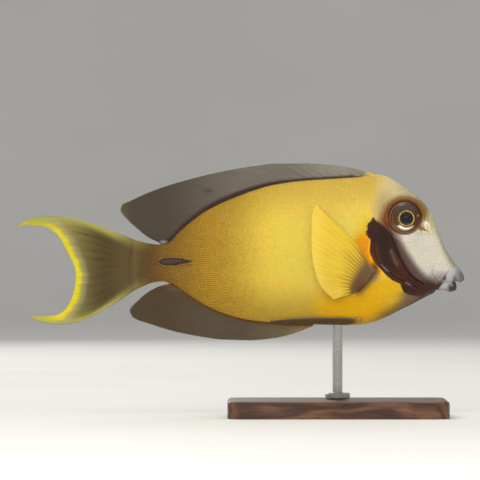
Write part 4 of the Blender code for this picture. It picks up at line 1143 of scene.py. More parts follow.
def walnut_finish():
    """Walnut with long grain bands, fine pores and a satin oil finish."""
    made, recipe, shader = finish_of("oiled_walnut", {"Coat Weight": 0.25, "Coat Roughness": 0.25})
    place = recipe.place()
    wander = recipe.noise(recipe.stretched(place, (14.0, 60.0, 60.0)), 1.0, 3.0)
    rings = recipe.node("ShaderNodeTexWave", {
        "Vector": recipe.vectors("ADD", recipe.stretched(place, (6.0, 90.0, 40.0)), wander),
        "Scale": 1.6, "Distortion": 7.0, "Detail": 3.0, "Detail Scale": 1.2,
    }, bands_direction="Y").outputs["Fac"]
    fibres = recipe.noise(recipe.stretched(place, (60.0, 1400.0, 1400.0)), 1.0, 3.0)
    dots = recipe.noise(recipe.stretched(place, (180.0, 2400.0, 2400.0)), 1.0, 1.0)
    pores = recipe.span(dots, 0.58, 0.7, 0.0, 1.0)
    tint = recipe.mixed(rings, linear(WALNUT_DARK), linear(WALNUT_PALE))
    tint = recipe.mixed(recipe.span(fibres, 0.3, 0.7, 0.0, 0.45), tint, linear(WALNUT_DARK))
    recipe.feed(shader, {
        "Base Color": recipe.mixed(recipe.maths("MULTIPLY", pores, 0.6), tint, linear(WALNUT_PORE)),
        "Roughness": recipe.span(fibres, 0.3, 0.7, 0.36, 0.5),
        "Normal": recipe.bumped(recipe.maths("SUBTRACT", fibres, pores), 0.25, 0.00006),
    })
    return made


def steel_finish():
    """Steel turned on a lathe: fine rings round the rod."""
    made, recipe, shader = finish_of("turned_steel", {"Metallic": 1.0})
    place = recipe.place()
    rings = recipe.noise(recipe.stretched(place, (30.0, 30.0, 5200.0)), 1.0, 3.0)
    smear = recipe.noise(place, 160.0, 2.0)
    worn = recipe.span(smear, 0.35, 0.7, 0.0, 0.3)
    recipe.feed(shader, {
        "Base Color": recipe.mixed(worn, linear(STEEL_GREY), linear(STEEL_WORN)),
        "Roughness": recipe.span(rings, 0.3, 0.7, 0.22, 0.38),
        "Normal": recipe.bumped(rings, 0.15, 0.00003),
    })
    return made


def floor_finish():
    """Pale matt studio paper."""
    made, recipe, shader = finish_of("pale_paper", {"Specular IOR Level": 0.2})
    cloud = recipe.noise(recipe.place(), 6.0, 2.0)
    recipe.feed(shader, {
        "Base Color": recipe.mixed(cloud, linear(FLOOR_PALE), linear(FLOOR_CLOUD)),
        "Roughness": recipe.span(cloud, 0.3, 0.7, 0.7, 0.85),
    })
    return made


# Geometry node trees.
def shape_tree(name, inputs):
    """A geometry tree with a mesh in and out and the given named inputs."""
    tree = bpy.data.node_groups.new(name, "GeometryNodeTree")
    tree.is_modifier = True
    tree.interface.new_socket("Geometry", in_out="INPUT", socket_type="NodeSocketGeometry")
    for label, kind in inputs:
        tree.interface.new_socket(label, in_out="INPUT", socket_type=kind)
    tree.interface.new_socket("Geometry", in_out="OUTPUT", socket_type="NodeSocketGeometry")
    recipe = Recipe(tree)
    return recipe, recipe.node("NodeGroupInput").outputs, recipe.node("NodeGroupOutput").inputs[0]


def named(recipe, name, kind):
    stored = recipe.node("GeometryNodeInputNamedAttribute", {"Name": name}, data_type=kind)
    return stored.outputs["Attribute"]


def scale_coat_tree():
    """Sets a scale on each point: its free rear edge lifted, its front edge sunk in the skin."""
    recipe, given, result = shape_tree("scale_coat", [
        ("Scale length", "NodeSocketFloat"), ("Scale width", "NodeSocketFloat"),
        ("Scale height", "NodeSocketFloat"), ("Rear lift", "NodeSocketFloat"),
        ("Corners", "NodeSocketInt"), ("Size spread", "NodeSocketFloat"),
        ("Seed", "NodeSocketInt"), ("Finish", "NodeSocketMaterial"),
    ])

    def times(first, second):
        return recipe.maths("MULTIPLY", first, second)

    def vector_at(name):
        return named(recipe, name, "FLOAT_VECTOR")

    plate = recipe.shape("MeshCone", {
        "Vertices": given["Corners"], "Radius Top": 0.0, "Radius Bottom": 1.0, "Depth": 1.0,
    })
    spot = recipe.shape("InputPosition")
    feeds = {"Geometry": plate, "Name": "on_scale", "Value": spot}
    plate = recipe.shape("StoreNamedAttribute", feeds, data_type="FLOAT_VECTOR", domain="POINT")
    parts = recipe.node("ShaderNodeSeparateXYZ", {"Vector": spot}).outputs
    along = times(parts["X"], times(given["Scale length"], 0.5))
    across = times(parts["Y"], times(given["Scale width"], 0.5))
    lift = times(recipe.maths("ADD", parts["X"], 0.2), given["Rear lift"])
    up = recipe.maths("ADD", times(parts["Z"], given["Scale height"]), lift)
    shaped = recipe.node("ShaderNodeCombineXYZ", {"X": along, "Y": across, "Z": up}).outputs[0]
    plate = recipe.shape("SetPosition", {"Geometry": plate, "Position": shaped})
    feeds = {"Primary Axis": vector_at("out"), "Secondary Axis": vector_at("lie")}
    turn = recipe.node(
        "FunctionNodeAxesToRotation", feeds, primary_axis="Z", secondary_axis="X"
    ).outputs[0]
    spread = recipe.node("FunctionNodeRandomValue", {
        2: recipe.maths("SUBTRACT", 1.0, given["Size spread"]),
        3: recipe.maths("ADD", 1.0, given["Size spread"]), "Seed": given["Seed"],
    }, data_type="FLOAT").outputs[1]
    coat = recipe.shape("InstanceOnPoints", {
        "Points": given["Geometry"], "Instance": plate, "Rotation": turn,
        "Scale": times(named(recipe, "size", "FLOAT"), spread),
    })
    coat = recipe.shape("RealizeInstances", {"Geometry": coat})
    patch = recipe.vectors("MULTIPLY", vector_at("on_scale"), (0.0015, 0.0015, 0.0))
    unwrap = recipe.vectors("ADD", vector_at("unwrap"), patch)
    feeds = {"Geometry": coat, "Name": "OFBake", "Value": unwrap}
    coat = recipe.shape("StoreNamedAttribute", feeds, data_type="FLOAT2", domain="CORNER")
    for spent in ("on_scale", "unwrap", "out", "lie", "size"):
        coat = recipe.shape("RemoveAttribute", {"Geometry": coat, "Name": spent})
    coat = recipe.shape("SetShadeSmooth", {"Geometry": coat})
    coat = recipe.shape("SetMaterial", {"Geometry": coat, "Material": given["Finish"]})
    recipe.tree.links.new(coat, result)
    return recipe.tree


def ray_sweep_tree():
    """Sweeps a round bar along each line of a mesh, as thick as the line says at each point."""
    recipe, given, result = shape_tree("fin_ray_sweep", [
        ("Thickness", "NodeSocketFloat"), ("Sides", "NodeSocketInt"),
        ("Finish", "NodeSocketMaterial"),
    ])
    strand = recipe.shape("MeshToCurve", {"Mesh": given["Geometry"]})
    radius = recipe.maths("MULTIPLY", named(recipe, "radius", "FLOAT"), given["Thickness"])
    ring = recipe.shape("CurvePrimitiveCircle", {"Resolution": given["Sides"], "Radius": 1.0})
    bar = recipe.shape("CurveToMesh", {
        "Curve": strand, "Profile Curve": ring, "Scale": radius, "Fill Caps": True,
    })
    bar = recipe.shape("RealizeInstances", {"Geometry": bar})
    bar = recipe.shape("RemoveAttribute", {"Geometry": bar, "Name": "radius"})
    bar = recipe.shape("SetShadeSmooth", {"Geometry": bar})
    bar = recipe.shape("SetMaterial", {"Geometry": bar, "Material": given["Finish"]})
    recipe.tree.links.new(bar, result)
    return recipe.tree


def grown(source, tree, values):
    """Runs a geometry tree on an object with values for its named inputs, leaving a plain mesh."""
    modifier = source.modifiers.new(tree.name, "NODES")
    modifier.node_group = tree
    for item in tree.interface.items_tree:
        if item.in_out == "INPUT" and item.name in values:
            modifier[item.identifier] = values[item.name]
    mesh = evaluated_mesh(source)
    source.modifiers.remove(modifier)
    source.data = mesh
    return source


# Scales.
def scale_pitch(x):
    """The distance between scales: smallest on the head and on the tail's stalk."""
    small = np.maximum(smooth_step((x - 38.0) / 26.0), 0.6 * smooth_step((-26.0 - x) / 16.0))
    return BODY_SCALE_PITCH + (HEAD_SCALE_PITCH - BODY_SCALE_PITCH) * small


def scale_rows(rear, front):
    """Where scales root on the left side: rows across the body, set half a scale apart."""
    fine = np.linspace(-math.pi / 2, math.pi / 2, 400)
    places = []
    x, row = rear, 0
    while x < front:
        pitch = float(scale_pitch(x))
        z, y = body_form.point(np.full(fine.shape, x), fine)
        length = np.concatenate([[0.0], np.cumsum(np.hypot(np.diff(z), np.diff(y)))])
        count = max(int(length[-1] / pitch), 3)
        offset = 0.25 + 0.5 * (row % 2)
        wanted = (np.arange(count) + offset) / count * length[-1]
        places.append(np.stack([np.full(count, x), np.interp(wanted, length, fine)], axis=-1))
        x, row = x + SCALE_ROW_STEP * pitch, row + 1
    return np.concatenate(places)


def bare_of_scales(x, z):
    """True where the skin is bare: lips, eye, nostrils, tail blade and the gill cover's free edge."""
    eye = np.hypot(x - EYE_CENTRE[0], z - EYE_CENTRE[1]) < 7.5
    lips = x > lip_edge(z) - 0.7
    blade = from_blade(x, z) < 0.35
    ahead = x - gill_edge(z)
    edge = (ahead > -0.75) & (ahead < 0.35) & (in_gill_opening(z) > 0.2)
    holes = np.zeros(x.shape, bool)
    for middle_x, middle_z, size in NOSTRILS:
        holes |= np.hypot(x - middle_x, z - middle_z) < size + 0.5
    return eye | lips | blade | edge | holes | (x < tail_fin_edge(z) + 0.4)


def coat_points(name, side, x, angle, size, draw):
    """A mesh of bare points that carries the lie, size, colour and unwrapped place of each scale."""
    place, outward = skin_surface(x, angle)
    behind = skin_surface(x - 0.3, angle)[0]
    lie = behind - place
    lie = lie / np.linalg.norm(lie, axis=-1, keepdims=True)
    lie = lie + SCALE_WANDER[1] * draw.standard_normal(lie.shape)
    turned = np.array([1.0, side, 1.0])
    tint = flesh_tint(place[:, 0], place[:, 2])
    rear = smooth_step((24.0 - x) / 40.0)
    body = smooth_step((58.0 - x) / 10.0)
    shade = 1 + (0.012 + 0.008 * body + 0.03 * rear) * draw.standard_normal(len(x))
    tint = tint * np.clip(shade, 0.7, 1.25)[:, None]
    points = new_object(name, place * turned, [])
    unwrap = np.stack([
        (x - tail_fin_edge(0.0)) / 140.0 + 0.03, angle / math.pi * 0.96 + 0.5, np.zeros(len(x)),
    ], axis=-1)
    store(points.data, "lie", lie * turned)
    store(points.data, "out", outward * turned)
    store(points.data, "unwrap", unwrap)
    store(points.data, "size", size, "FLOAT", "value")
    paint(points.data, tint, freckled(x))
    return points


def make_scales(finish):
    """The coat of scales in three regions a side: body, head and the brown gill patch."""
    tree = scale_coat_tree()
    rows = scale_rows(*SCALE_SPAN)
    long, wide, high = SCALE_SIZE
    for side, word in SIDES:
        draw = np.random.default_rng(20 + side)
        x = rows[:, 0] + SCALE_WANDER[0] * draw.standard_normal(len(rows))
        angle = rows[:, 1]
        z = body_form.point(x, angle)[0]
        ahead = x - gill_edge(z) > 0
        patch = from_stroke(GILL_PATCH_EDGE, x, z, closed=True) > 0
        bare = bare_of_scales(x, z)
        for region, wanted, slot in (
            ("body", ~ahead & ~patch, "body_skin"),
            ("head", ahead & ~patch, "head_skin"),
            ("gill_patch", patch, "gill_patch"),
        ):
            kept = wanted & ~bare
            size = scale_pitch(x[kept]) * (0.5 + 0.5 * smooth_step((x[kept] + 43.5) / 6.0))
            points = coat_points(f"scales_{region}_{word}", side, x[kept], angle[kept], size, draw)
            coat = grown(points, tree, {
                "Scale length": long * MM, "Scale width": wide * MM, "Scale height": high * MM,
                "Rear lift": SCALE_LIFT * MM, "Corners": SCALE_CORNERS, "Size spread": SCALE_SPREAD,
                "Seed": 4, "Finish": finish,
            })
            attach(coat, "root")


# Fins.
def coons(root, margin, first, last):
    """A patch between four curves: u runs along the root and the margin, v from one to the other."""

    def place(u, v):
        u, v = np.broadcast_arrays(np.asarray(u, float), np.asarray(v, float))
        across, along = u[..., None], v[..., None]
        corners = (
            (1 - across) * (1 - along) * root(0.0)
            + across * (1 - along) * root(1.0)
            + (1 - across) * along * margin(0.0)
            + across * along * margin(1.0)
        )
        return (
            (1 - along) * root(u)
            + along * margin(u)
            + (1 - across) * first(v)
            + across * last(v)
            - corners
        )

    return place


def outward_of(place, u, v):
    step = 1e-3
    by_u = place(np.clip(u + step, 0, 1), v) - place(np.clip(u - step, 0, 1), v)
    by_v = place(u, np.clip(v + step, 0, 1)) - place(u, np.clip(v - step, 0, 1))
    outward = np.cross(by_u, by_v)
    return outward / np.maximum(np.linalg.norm(outward, axis=-1, keepdims=True), 1e-9)


def store_fin_place(mesh, u, v):
    store(mesh, "fin_place", np.stack([np.ravel(u), np.ravel(v), np.zeros(np.size(u))], axis=-1))


def sheet_faces(columns, rows):
    """The faces of a closed sheet: its two sides, each a grid of corners, and its rim."""
    high = rows + 1
    count = columns * high
    faces = []
    for c in range(columns - 1):
        for r in range(rows):
            a, b = c * high + r, (c + 1) * high + r
            faces.append((a, b, b + 1, a + 1))
            faces.append((a + count, a + 1 + count, b + 1 + count, b + count))
    last = (columns - 1) * high
    rim = [(c * high, (c + 1) * high) for c in range(columns - 1)]
    rim += [(last + r, last + r + 1) for r in range(rows)]
    rim += [((c + 1) * high + rows, c * high + rows) for c in range(columns - 1)]
    rim += [(r + 1, r) for r in range(rows)]
    return faces + [(b, a, a + count, b + count) for a, b in rim]


def membrane(name, place, rays, rows, half, tint):
    """The skin of a fin as one closed sheet, drawn in a little between the tips of its rays."""
    steps = np.arange((len(rays) - 1) * RAY_GAP_COLUMNS + 1)
    columns = np.interp(steps / RAY_GAP_COLUMNS, np.arange(len(rays)), rays)
    sag = np.abs(np.sin(np.pi * steps / RAY_GAP_COLUMNS))
    u, v = np.meshgrid(columns, np.linspace(0.0, 1.0, rows + 1), indexing="ij")
    middle = place(u, v)
    reach = np.linalg.norm(middle[:, -1] - middle[:, 0], axis=-1)
    pull = np.clip(MEMBRANE_SAG / np.maximum(reach, 1e-6), 0.0, 0.2) * sag
    v = v * (1 - pull[:, None] * v**4)
    middle = place(u, v)
    offset = outward_of(place, u, v) * half(u, v)[..., None]
    corners = np.concatenate([(middle + offset).reshape(-1, 3), (middle - offset).reshape(-1, 3)])
    sheet = new_object(name, corners, sheet_faces(len(columns), rows))
    turn_outward(sheet.data)
    colours = tint(u, v, middle).reshape(-1, 3)
    paint(sheet.data, np.concatenate([colours, colours]))
    store_fin_place(sheet.data, np.tile(u.ravel(), 2), np.tile(v.ravel(), 2))
    sheet.data.shade_smooth()
    return sheet


def branching(rays, spines, forks):
    """Lines along a fin's rays as (u, v, radius): each soft ray forks towards the margin."""
    strands = []

    def tapered(radii, v):
        return radii[0] + (radii[1] - radii[0]) * v

    def grow(stem, start, spread, level):
        """A stem along the u that stem(v) gives, and its two branches from the next fork on."""
        forked = level < len(forks)
        v = np.linspace(start, forks[level] + 0.02 if forked else 1.0, RAY_POINTS[0])
        thick = tapered(RAY_RADIUS, v) * (0.78 if level else 1.0)
        strands.append((np.clip(stem(v), 0.0, 1.0), v, thick))
        if not forked:
            return
        fork = forks[level]
        for aside in (-spread, spread):
            def branch(v, aside=aside):
                return stem(v) + aside * smooth_step((v - fork) / (1 - fork)) ** 0.8

            grow(branch, fork, spread / 2, level + 1)

    for k, at in enumerate(rays):
        if k >= len(rays) - spines:
            v = np.linspace(0.0, 1.0, RAY_POINTS[1])
            strands.append((np.full(v.shape, at), v, tapered(SPINE_RADIUS, v)))
        else:
            room = min(abs(at - other) for other in rays if other != at)
            grow(always(at), 0.0, 0.25 * room, 0)
    return strands


def ray_bars(name, place, strands, tint, tree, finish):
    """Round rays swept along their lines, each painted by the tint of the places on it."""
    corners, edges, radii, colours, us, vs = [], [], [], [], [], []
    for u, v, thick in strands:
        start = sum(len(some) for some in corners)
        spots = place(u, v)
        corners.append(spots)
        edges += [(start + k, start + k + 1) for k in range(len(u) - 1)]
        radii.append(thick)
        colours.append(tint(u, v, spots))
        us.append(u)
        vs.append(v)
    strand = new_object(name, np.concatenate(corners), [], edges)
    store(strand.data, "radius", np.concatenate(radii), "FLOAT", "value")
    paint(strand.data, np.concatenate(colours))
    store_fin_place(strand.data, np.concatenate(us), np.concatenate(vs))
    return grown(strand, tree, {"Thickness": MM, "Sides": RAY_SIDES, "Finish": finish})


def fin_pieces(name, place, rays, rows, half, tints, finishes, tree, forks, spines=0):
    """A fin's membrane and its rays: tints and finishes are given for the one and the other."""
    sheet = membrane(f"{name}_membrane", place, rays, rows, half, tints[0])
    sheet.data.materials.append(finishes[0])
    strands = branching(rays, spines, forks)
    return sheet, ray_bars(f"{name}_rays", place, strands, tints[1], tree, finishes[1])


def ray_shares(root, spine_start, spines, soft):
    """The share along a fin's root of each soft ray and spine, from the rear to the front."""
    rear, front = root
    divide = (spine_start - rear) / (front - rear)
    behind = np.linspace(0.0, divide, soft + 1)[:-1]
    ahead = np.linspace(divide, 1.0, spines)
    return np.concatenate([behind, ahead])


def waved(patch, u, v, height, waves):
    """Puts a flat patch in the middle plane, with slight waves towards its margin."""
    u, v = np.asarray(u, float), np.asarray(v, float)
    flat = patch(u, v)
    sway = height * v**2 * np.sin(u * waves * 2 * math.pi) * np.sin(np.clip(u, 0, 1) * math.pi)
    return np.stack([flat[..., 0], sway, flat[..., 1]], axis=-1)


def median_place(span, root_line, sink, margin, rear_edge, front_edge):
    """Places on a fin of the middle plane whose root follows the back or the belly."""
    rear, front = span

    def root(u):
        x = rear + np.asarray(u, float) * (front - rear)
        return np.stack([x, root_line(x) - sink], axis=-1)

    patch = coons(root, path(margin), path([tuple(root(0.0))] + rear_edge[1:]),
                  path([tuple(root(1.0))] + front_edge[1:]))
    return lambda u, v: waved(patch, u, v, *MEDIAN_SWAY)


def darker(tint, share):
    """The same painting with every colour dimmed to a share of its light."""
    return lambda u, v, place: tint(u, v, place) * share


def dorsal_tint(u, v, place):
    """Lilac grey, browner to the rear, with a dark purple foot and a pale rear edge."""
    x, z = place[..., 0], place[..., 2]
    up = z - back(np.maximum(x, DORSAL_ROOT[0]))
    band = 2.3 - 1.2 * ramp(x, -10.0, 30.0)
    foot = smooth_step((band - up) / 1.3) * ramp(x, 47.5, 44.5)
    rear_edge = smooth_step((DORSAL_REAR_SHARE - u) / 0.02)
    return layered(plain(DORSAL_GREY, x), [
        (DORSAL_REAR, ramp(x, 8.0, -34.0)),
        (DORSAL_FRONT, ramp(x, 14.0, 42.0)),
        (DORSAL_TIP, 0.7 * ramp(x, -42.5, -47.0)),
        (CREST_CREAM, ramp(x, 49.2, 52.2)),
        (ROOT_PURPLE, foot),
        (TAIL_STREAK, 0.6 * oval(x, z, (-12.8, 28.4), (2.2, 0.8), 0.7)),
        (MARGIN_PALE, 0.7 * oval(x, z, (-30.6, 8.0), (1.4, 0.6), 0.6)),
        (MARGIN_PALE, ramp(v, 0.97, 0.99) * (0.15 + 0.65 * rear_edge)),
    ])


def anal_tint(u, v, place):
    """Grey-brown, paler in front, with a thin dark foot and a faint pale rear edge."""
    x, z = place[..., 0], place[..., 2]
    down = belly(np.maximum(x, ANAL_ROOT[0])) - z
    rear_edge = smooth_step((ANAL_REAR_SHARE - u) / 0.02)
    return layered(plain(ANAL_BROWN, x), [
        (ANAL_REAR, ramp(x, -8.0, -34.0)),
        (ANAL_FRONT, smooth_step(x / 22.0)),
        (TEMPLE_TAN, 0.3 * ramp(x, 18.0, 26.0)),
        (ROOT_BROWN, 0.9 * ramp(down, 0.9, 0.3)),
        (CREASE_BROWN, 0.45 * oval(x, z, (-26.0, -10.8), (2.6, 1.0), 0.6)),
        (MARGIN_PALE, ramp(v, 0.97, 0.99) * (0.15 + 0.35 * rear_edge)),
    ])


def make_median_fins(tree, *finishes):
    """The dorsal and the anal fin, their feet sunk in the ridges of the back and the belly."""
    for name, span, root_line, sink, margin, rear_edge, front_edge, start, spines, soft, tint in (
        ("dorsal_fin", DORSAL_ROOT, back, FIN_FOOT, DORSAL_MARGIN, DORSAL_REAR_EDGE,
         DORSAL_FRONT_EDGE, DORSAL_SPINE_START, DORSAL_SPINES, DORSAL_SOFT_RAYS, dorsal_tint),
        ("anal_fin", ANAL_ROOT, belly, -FIN_FOOT, ANAL_MARGIN, ANAL_REAR_EDGE,
         ANAL_FRONT_EDGE, ANAL_SPINE_START, ANAL_SPINES, ANAL_SOFT_RAYS, anal_tint),
    ):
        place = median_place(span, root_line, sink, margin, rear_edge, front_edge)
        rays = ray_shares(span, start, spines, soft)

        def half(u, v):
            foot = 0.55 * np.exp(-v * 14.0)
            return MEMBRANE + foot * np.sin(np.clip(u, 0.03, 0.97) * math.pi) ** 0.4

        for piece in fin_pieces(name, place, rays, FIN_ROWS, half, (tint, tint), finishes, tree,
                                MEDIAN_FORKS, spines):
            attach(piece, "root")
            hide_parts(name)


def tail_place(u, v):
    """Places on the tail fin, from its root in the stalk to its hollow margin."""
    def root(u):
        z = TAIL_ROOT[0] + np.asarray(u, float) * (TAIL_ROOT[1] - TAIL_ROOT[0])
        return np.stack([tail_fin_edge(z) + 1.0, z], axis=-1)

    upper = [tuple(root(0.0))] + TAIL_UPPER_EDGE
    lower = [tuple(root(1.0))] + TAIL_LOWER_EDGE
    patch = coons(root, path(TAIL_MARGIN), path(upper), path(lower))
    return waved(patch, u, v, *TAIL_SWAY)


def tail_tint(u, v, place):
    """Brown to olive with thin dark streaks, olive-yellow lobes and a yellow rear margin."""
    x, z = place[..., 0], place[..., 2]
    from_margin = from_stroke(stroke_of(TAIL_MARGIN, 60), x, z)
    lobes = np.abs(2 * u - 1)
    between = 0.5 - 0.5 * np.cos(u * (TAIL_RAYS - 1) * 2 * math.pi)
    dark = between**3 * ramp(v, 0.84, 0.59) * ramp(v, 0.14, 0.34)
    dark = dark * (0.25 + 0.75 * mottle(u * (TAIL_RAYS - 1), np.zeros_like(u), 1.0, 6))
    thick = 3.0 - 0.8 * ramp(x, -72.0, -80.0)
    thick = thick + 0.9 * (mottle(u * 46.0, np.zeros_like(u), 1.0, 13) - 0.5)
    tips = ramp(x, -72.0, -82.0)
    yellow = smooth_step((thick - from_margin) / 2.2 + 0.3)
    return layered(plain(TAIL_BROWN, x), [
        (TAIL_OLIVE, ramp(x, -54.0, -72.0) * 0.76),
        (TAIL_EDGE, ramp(lobes, 0.5, 0.95) * ramp(x, -37.0, -49.0)),
        (TAIL_STREAK, 0.8 * dark * ramp(lobes, 0.8, 0.4)),
        (TAIL_PALE, 0.5 * bump(from_margin - thick - 0.6, 1.1)),
        (TAIL_TIP, tips),
        (TAIL_YELLOW, yellow * (1 - 0.75 * tips)),
        (TAIL_ROOT_BROWN, ramp(x, -54.0, -44.0) * (1 - 0.7 * lobes**2)),
    ])


def make_tail(tree, *finishes):
    """The tail fin as one sheet that stands for its three solids."""
    def half(u, v):
        z = TAIL_ROOT[0] + u * (TAIL_ROOT[1] - TAIL_ROOT[0])
        stalk = body_form.side(tail_fin_edge(z) + 0.4, z) * 0.9 - COAT_DEPTH
        return MEMBRANE + np.maximum(stalk - MEMBRANE, 0.0) * np.exp(-5.0 * v)

    rays = np.linspace(0.0, 1.0, TAIL_RAYS)
    tints = (tail_tint, darker(tail_tint, RAY_SHADE))
    for piece in fin_pieces("tail_fin", tail_place, rays, TAIL_ROWS, half, tints, finishes, tree,
                            TAIL_FORKS):
        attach(piece, "root")
        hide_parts("caudal_fin_upper", "caudal_fin_middle", "caudal_fin_lower")


def pectoral_tint(u, v, place):
    """The flank's yellow, dimmed by painted shade at the rim, with brown between rays near a
    mauve-brown root.
    """
    tint = layered(plain(PECTORAL_YELLOW, u), [(PECTORAL_GOLD, 0.8 * ramp(v, 0.6, 0.1))])
    rim = np.maximum(ramp(v, 0.72, 1.0), ramp(u, 0.82, 1.0))
    flank = flank_tint(place[..., 0], place[..., 2])
    # Painted shade towards the rim, where the fin faces the light more than the flank.
    tint = tint + (PECTORAL_RIM_SHADE * flank - tint) * 0.8 * rim[..., None]
    block = 0.2 + 0.17 * u**1.5
    between = 0.5 - 0.5 * np.cos(u * (PECTORAL_RAYS - 1) * 2 * math.pi)
    reach = block + 0.1 + 0.18 * mottle(u * (PECTORAL_RAYS - 1), np.zeros_like(u), 1.0, 9)
    return layered(tint, [
        (PECTORAL_BROWN, 0.62 * between * smooth_step((reach + 0.1 - v) / 0.3)),
        (PECTORAL_OLIVE, 0.75 * smooth_step((block + 0.08 - v) / 0.16)),
        (PECTORAL_BASE, 0.85 * smooth_step((block - v) / 0.1)),
        (PECTORAL_CORNER, 0.8 * ramp(u, 0.35, 0.85) * ramp(v, 0.24, 0.06)),
        (PECTORAL_EDGE, 0.8 * ramp(u, 0.07, 0.02) * ramp(v, 0.34, 0.2)),
    ])


def make_pectorals(tree, *finishes):
    """The broad paddles that stand off the flank, close to it at the root."""
    patch = coons(
        path(PECTORAL_ROOT), path(PECTORAL_MARGIN), path(PECTORAL_UPPER_EDGE),
        path(PECTORAL_LOWER_EDGE),
    )
    near, away = PECTORAL_STAND_OFF
    rays = np.linspace(0.0, 1.0, PECTORAL_RAYS)

    def half(u, v):
        return MEMBRANE + 0.6 * np.exp(-v * 10.0)

    for side, word in SIDES:
        def place(u, v):
            u, v = np.broadcast_arrays(np.asarray(u, float), np.asarray(v, float))
            flat = patch(u, v)
            x, z = flat[..., 0], flat[..., 1]
            off = near - 0.5 + (away - near + 0.5) * v**1.4 + 0.3 * v * np.sin(u * 4.0 * math.pi)
            return np.stack([x, side * (body_form.side(x, z) + off), z], axis=-1)

        tints = [darker(pectoral_tint, share) for share in PECTORAL_SHADE]
        for piece in fin_pieces(f"pectoral_{word}", place, rays, FIN_ROWS, half, tints, finishes,
                                tree, PECTORAL_FORKS):
            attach(piece, "root")
            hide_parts(f"pectoral_fin_{word}")


def pelvic_tint(u, v, place):
    """Purple-brown, with a paler upper edge and a soft front end."""
    return layered(plain(PELVIC_BROWN, u), [
        (DORSAL_FRONT, 0.4 * ramp(u, 0.12, 0.0)),
        (LOWER_OCHRE, 0.7 * ramp(v, 0.1, 0.02)),
    ])


def make_pelvics(tree, *finishes):
    """The narrow fins folded back along the belly."""
    top, bottom = line(PELVIC_TOP_ANGLE), line(PELVIC_BOTTOM_ANGLE)
    root_x, tip_x = PELVIC_SPAN
    near, away = PELVIC_LIFT
    rays = np.linspace(0.0, 1.0, PELVIC_RAYS)

    def half(u, v):
        return MEMBRANE + 0.2 * np.exp(-v * 6.0)

    for side, word in SIDES:
        def place(u, v):
            u, v = np.broadcast_arrays(np.asarray(u, float), np.asarray(v, float))
            x = root_x + (tip_x - root_x) * v
            angle = np.radians(top(v) + (bottom(v) - top(v)) * u)
            z, y = body_form.point(x, angle)
            off = (near + (away - near) * v) * smooth_step(v / 0.08 + 0.2)
            lean = np.radians(PELVIC_LEAN)
            return np.stack([x, side * (y + off * np.cos(lean)), z + off * np.sin(lean)], axis=-1)

        tints = (pelvic_tint, darker(pelvic_tint, RAY_SHADE))
        for piece in fin_pieces(f"pelvic_{word}", place, rays, FIN_ROWS, half, tints, finishes,
                                tree, PELVIC_FORKS, PELVIC_SPINES):
            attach(piece, "root")
            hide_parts(f"pelvic_fin_{word}")


# Eyes and tail blades.
def eye_matrix(side):
    """Seats an eye in the side of the head, square to it there: its own +Z looks out."""
    x, z = EYE_CENTRE
    reach = EYE_RADIUS
    ahead = float(body_form.side(x + reach, z) - body_form.side(x - reach, z)) / (2 * reach)
    above = float(body_form.side(x, z + reach) - body_form.side(x, z - reach)) / (2 * reach)
    outward = Vector((-ahead, 1.0, -above)).normalized()
    round_it = ((1, 0), (-1, 0), (0, 1), (0, -1))
    flank = [body_form.side(x + reach * dx, z + reach * dz) for dx, dz in round_it]
    middle = Vector((x, float(np.mean(flank)), z)) - outward * EYE_SINK
    turn = outward.to_track_quat("Z", "X").to_matrix().to_4x4()
    place = Matrix.Translation(middle) @ turn
    return place if side > 0 else Matrix.Scale(-1, 4, (0, 1, 0)) @ place


def eye_tint(x, z):
    """The rings of the iris: brown and olive, gold lines round the pupil, a painted reflection below.
    """
    away = np.hypot(x - EYE_CENTRE[0], z - EYE_CENTRE[1])
    inner = np.hypot(x - PUPIL_CENTRE[0], z - PUPIL_CENTRE[1])
    rear_half = smooth_step((x + z - 82.0) / -6.0)
    middle_x, middle_z, radius, top = REFLECTION_CRESCENT
    from_rim = radius - np.hypot(x - middle_x, z - middle_z)
    below = smooth_step((top - z) / 0.5)
    reflection = below * smooth_step(from_rim / 0.3) * smooth_step((inner - PUPIL_RINGS[1]) / 0.2)
    return layered(plain(IRIS_BROWN, x), [
        (IRIS_OLIVE, 0.7 * oval(x, z, (65.6, 21.6), (2.8, 0.8), 0.8)),
        (IRIS_DARK, 0.7 * bump(away - 5.7, 0.36)),
        (IRIS_LINE, 0.6 * bump(away - 5.2, 0.12) * rear_half),
        (IRIS_LINE, 0.85 * bump(away - 6.15, 0.15)),
        (HALO_BROWN, ramp(away, 6.32, 6.52)),
        # Painted reflection below the pupil: a gold fringe and a pale crescent.
        (IRIS_GOLD, 0.8 * below * bump(from_rim + 0.1, 0.16)),
        (IRIS_REFLECTION, reflection),
        (IRIS_DARK, 0.8 * smooth_step((PUPIL_RINGS[1] - inner) / 0.2)),
        (IRIS_GOLD, 0.4 * rear_half * bump(inner - PUPIL_RINGS[1], 0.12)),
        (IRIS_GOLD, bump(inner - PUPIL_RINGS[0], 0.14)),
        (PUPIL_BLACK, smooth_step((PUPIL_RADIUS - inner) / 0.2)),
        (IRIS_GOLD, 0.7 * oval(x, z, (71.0, 18.5), (0.25, 0.35), 0.6)),
    ])


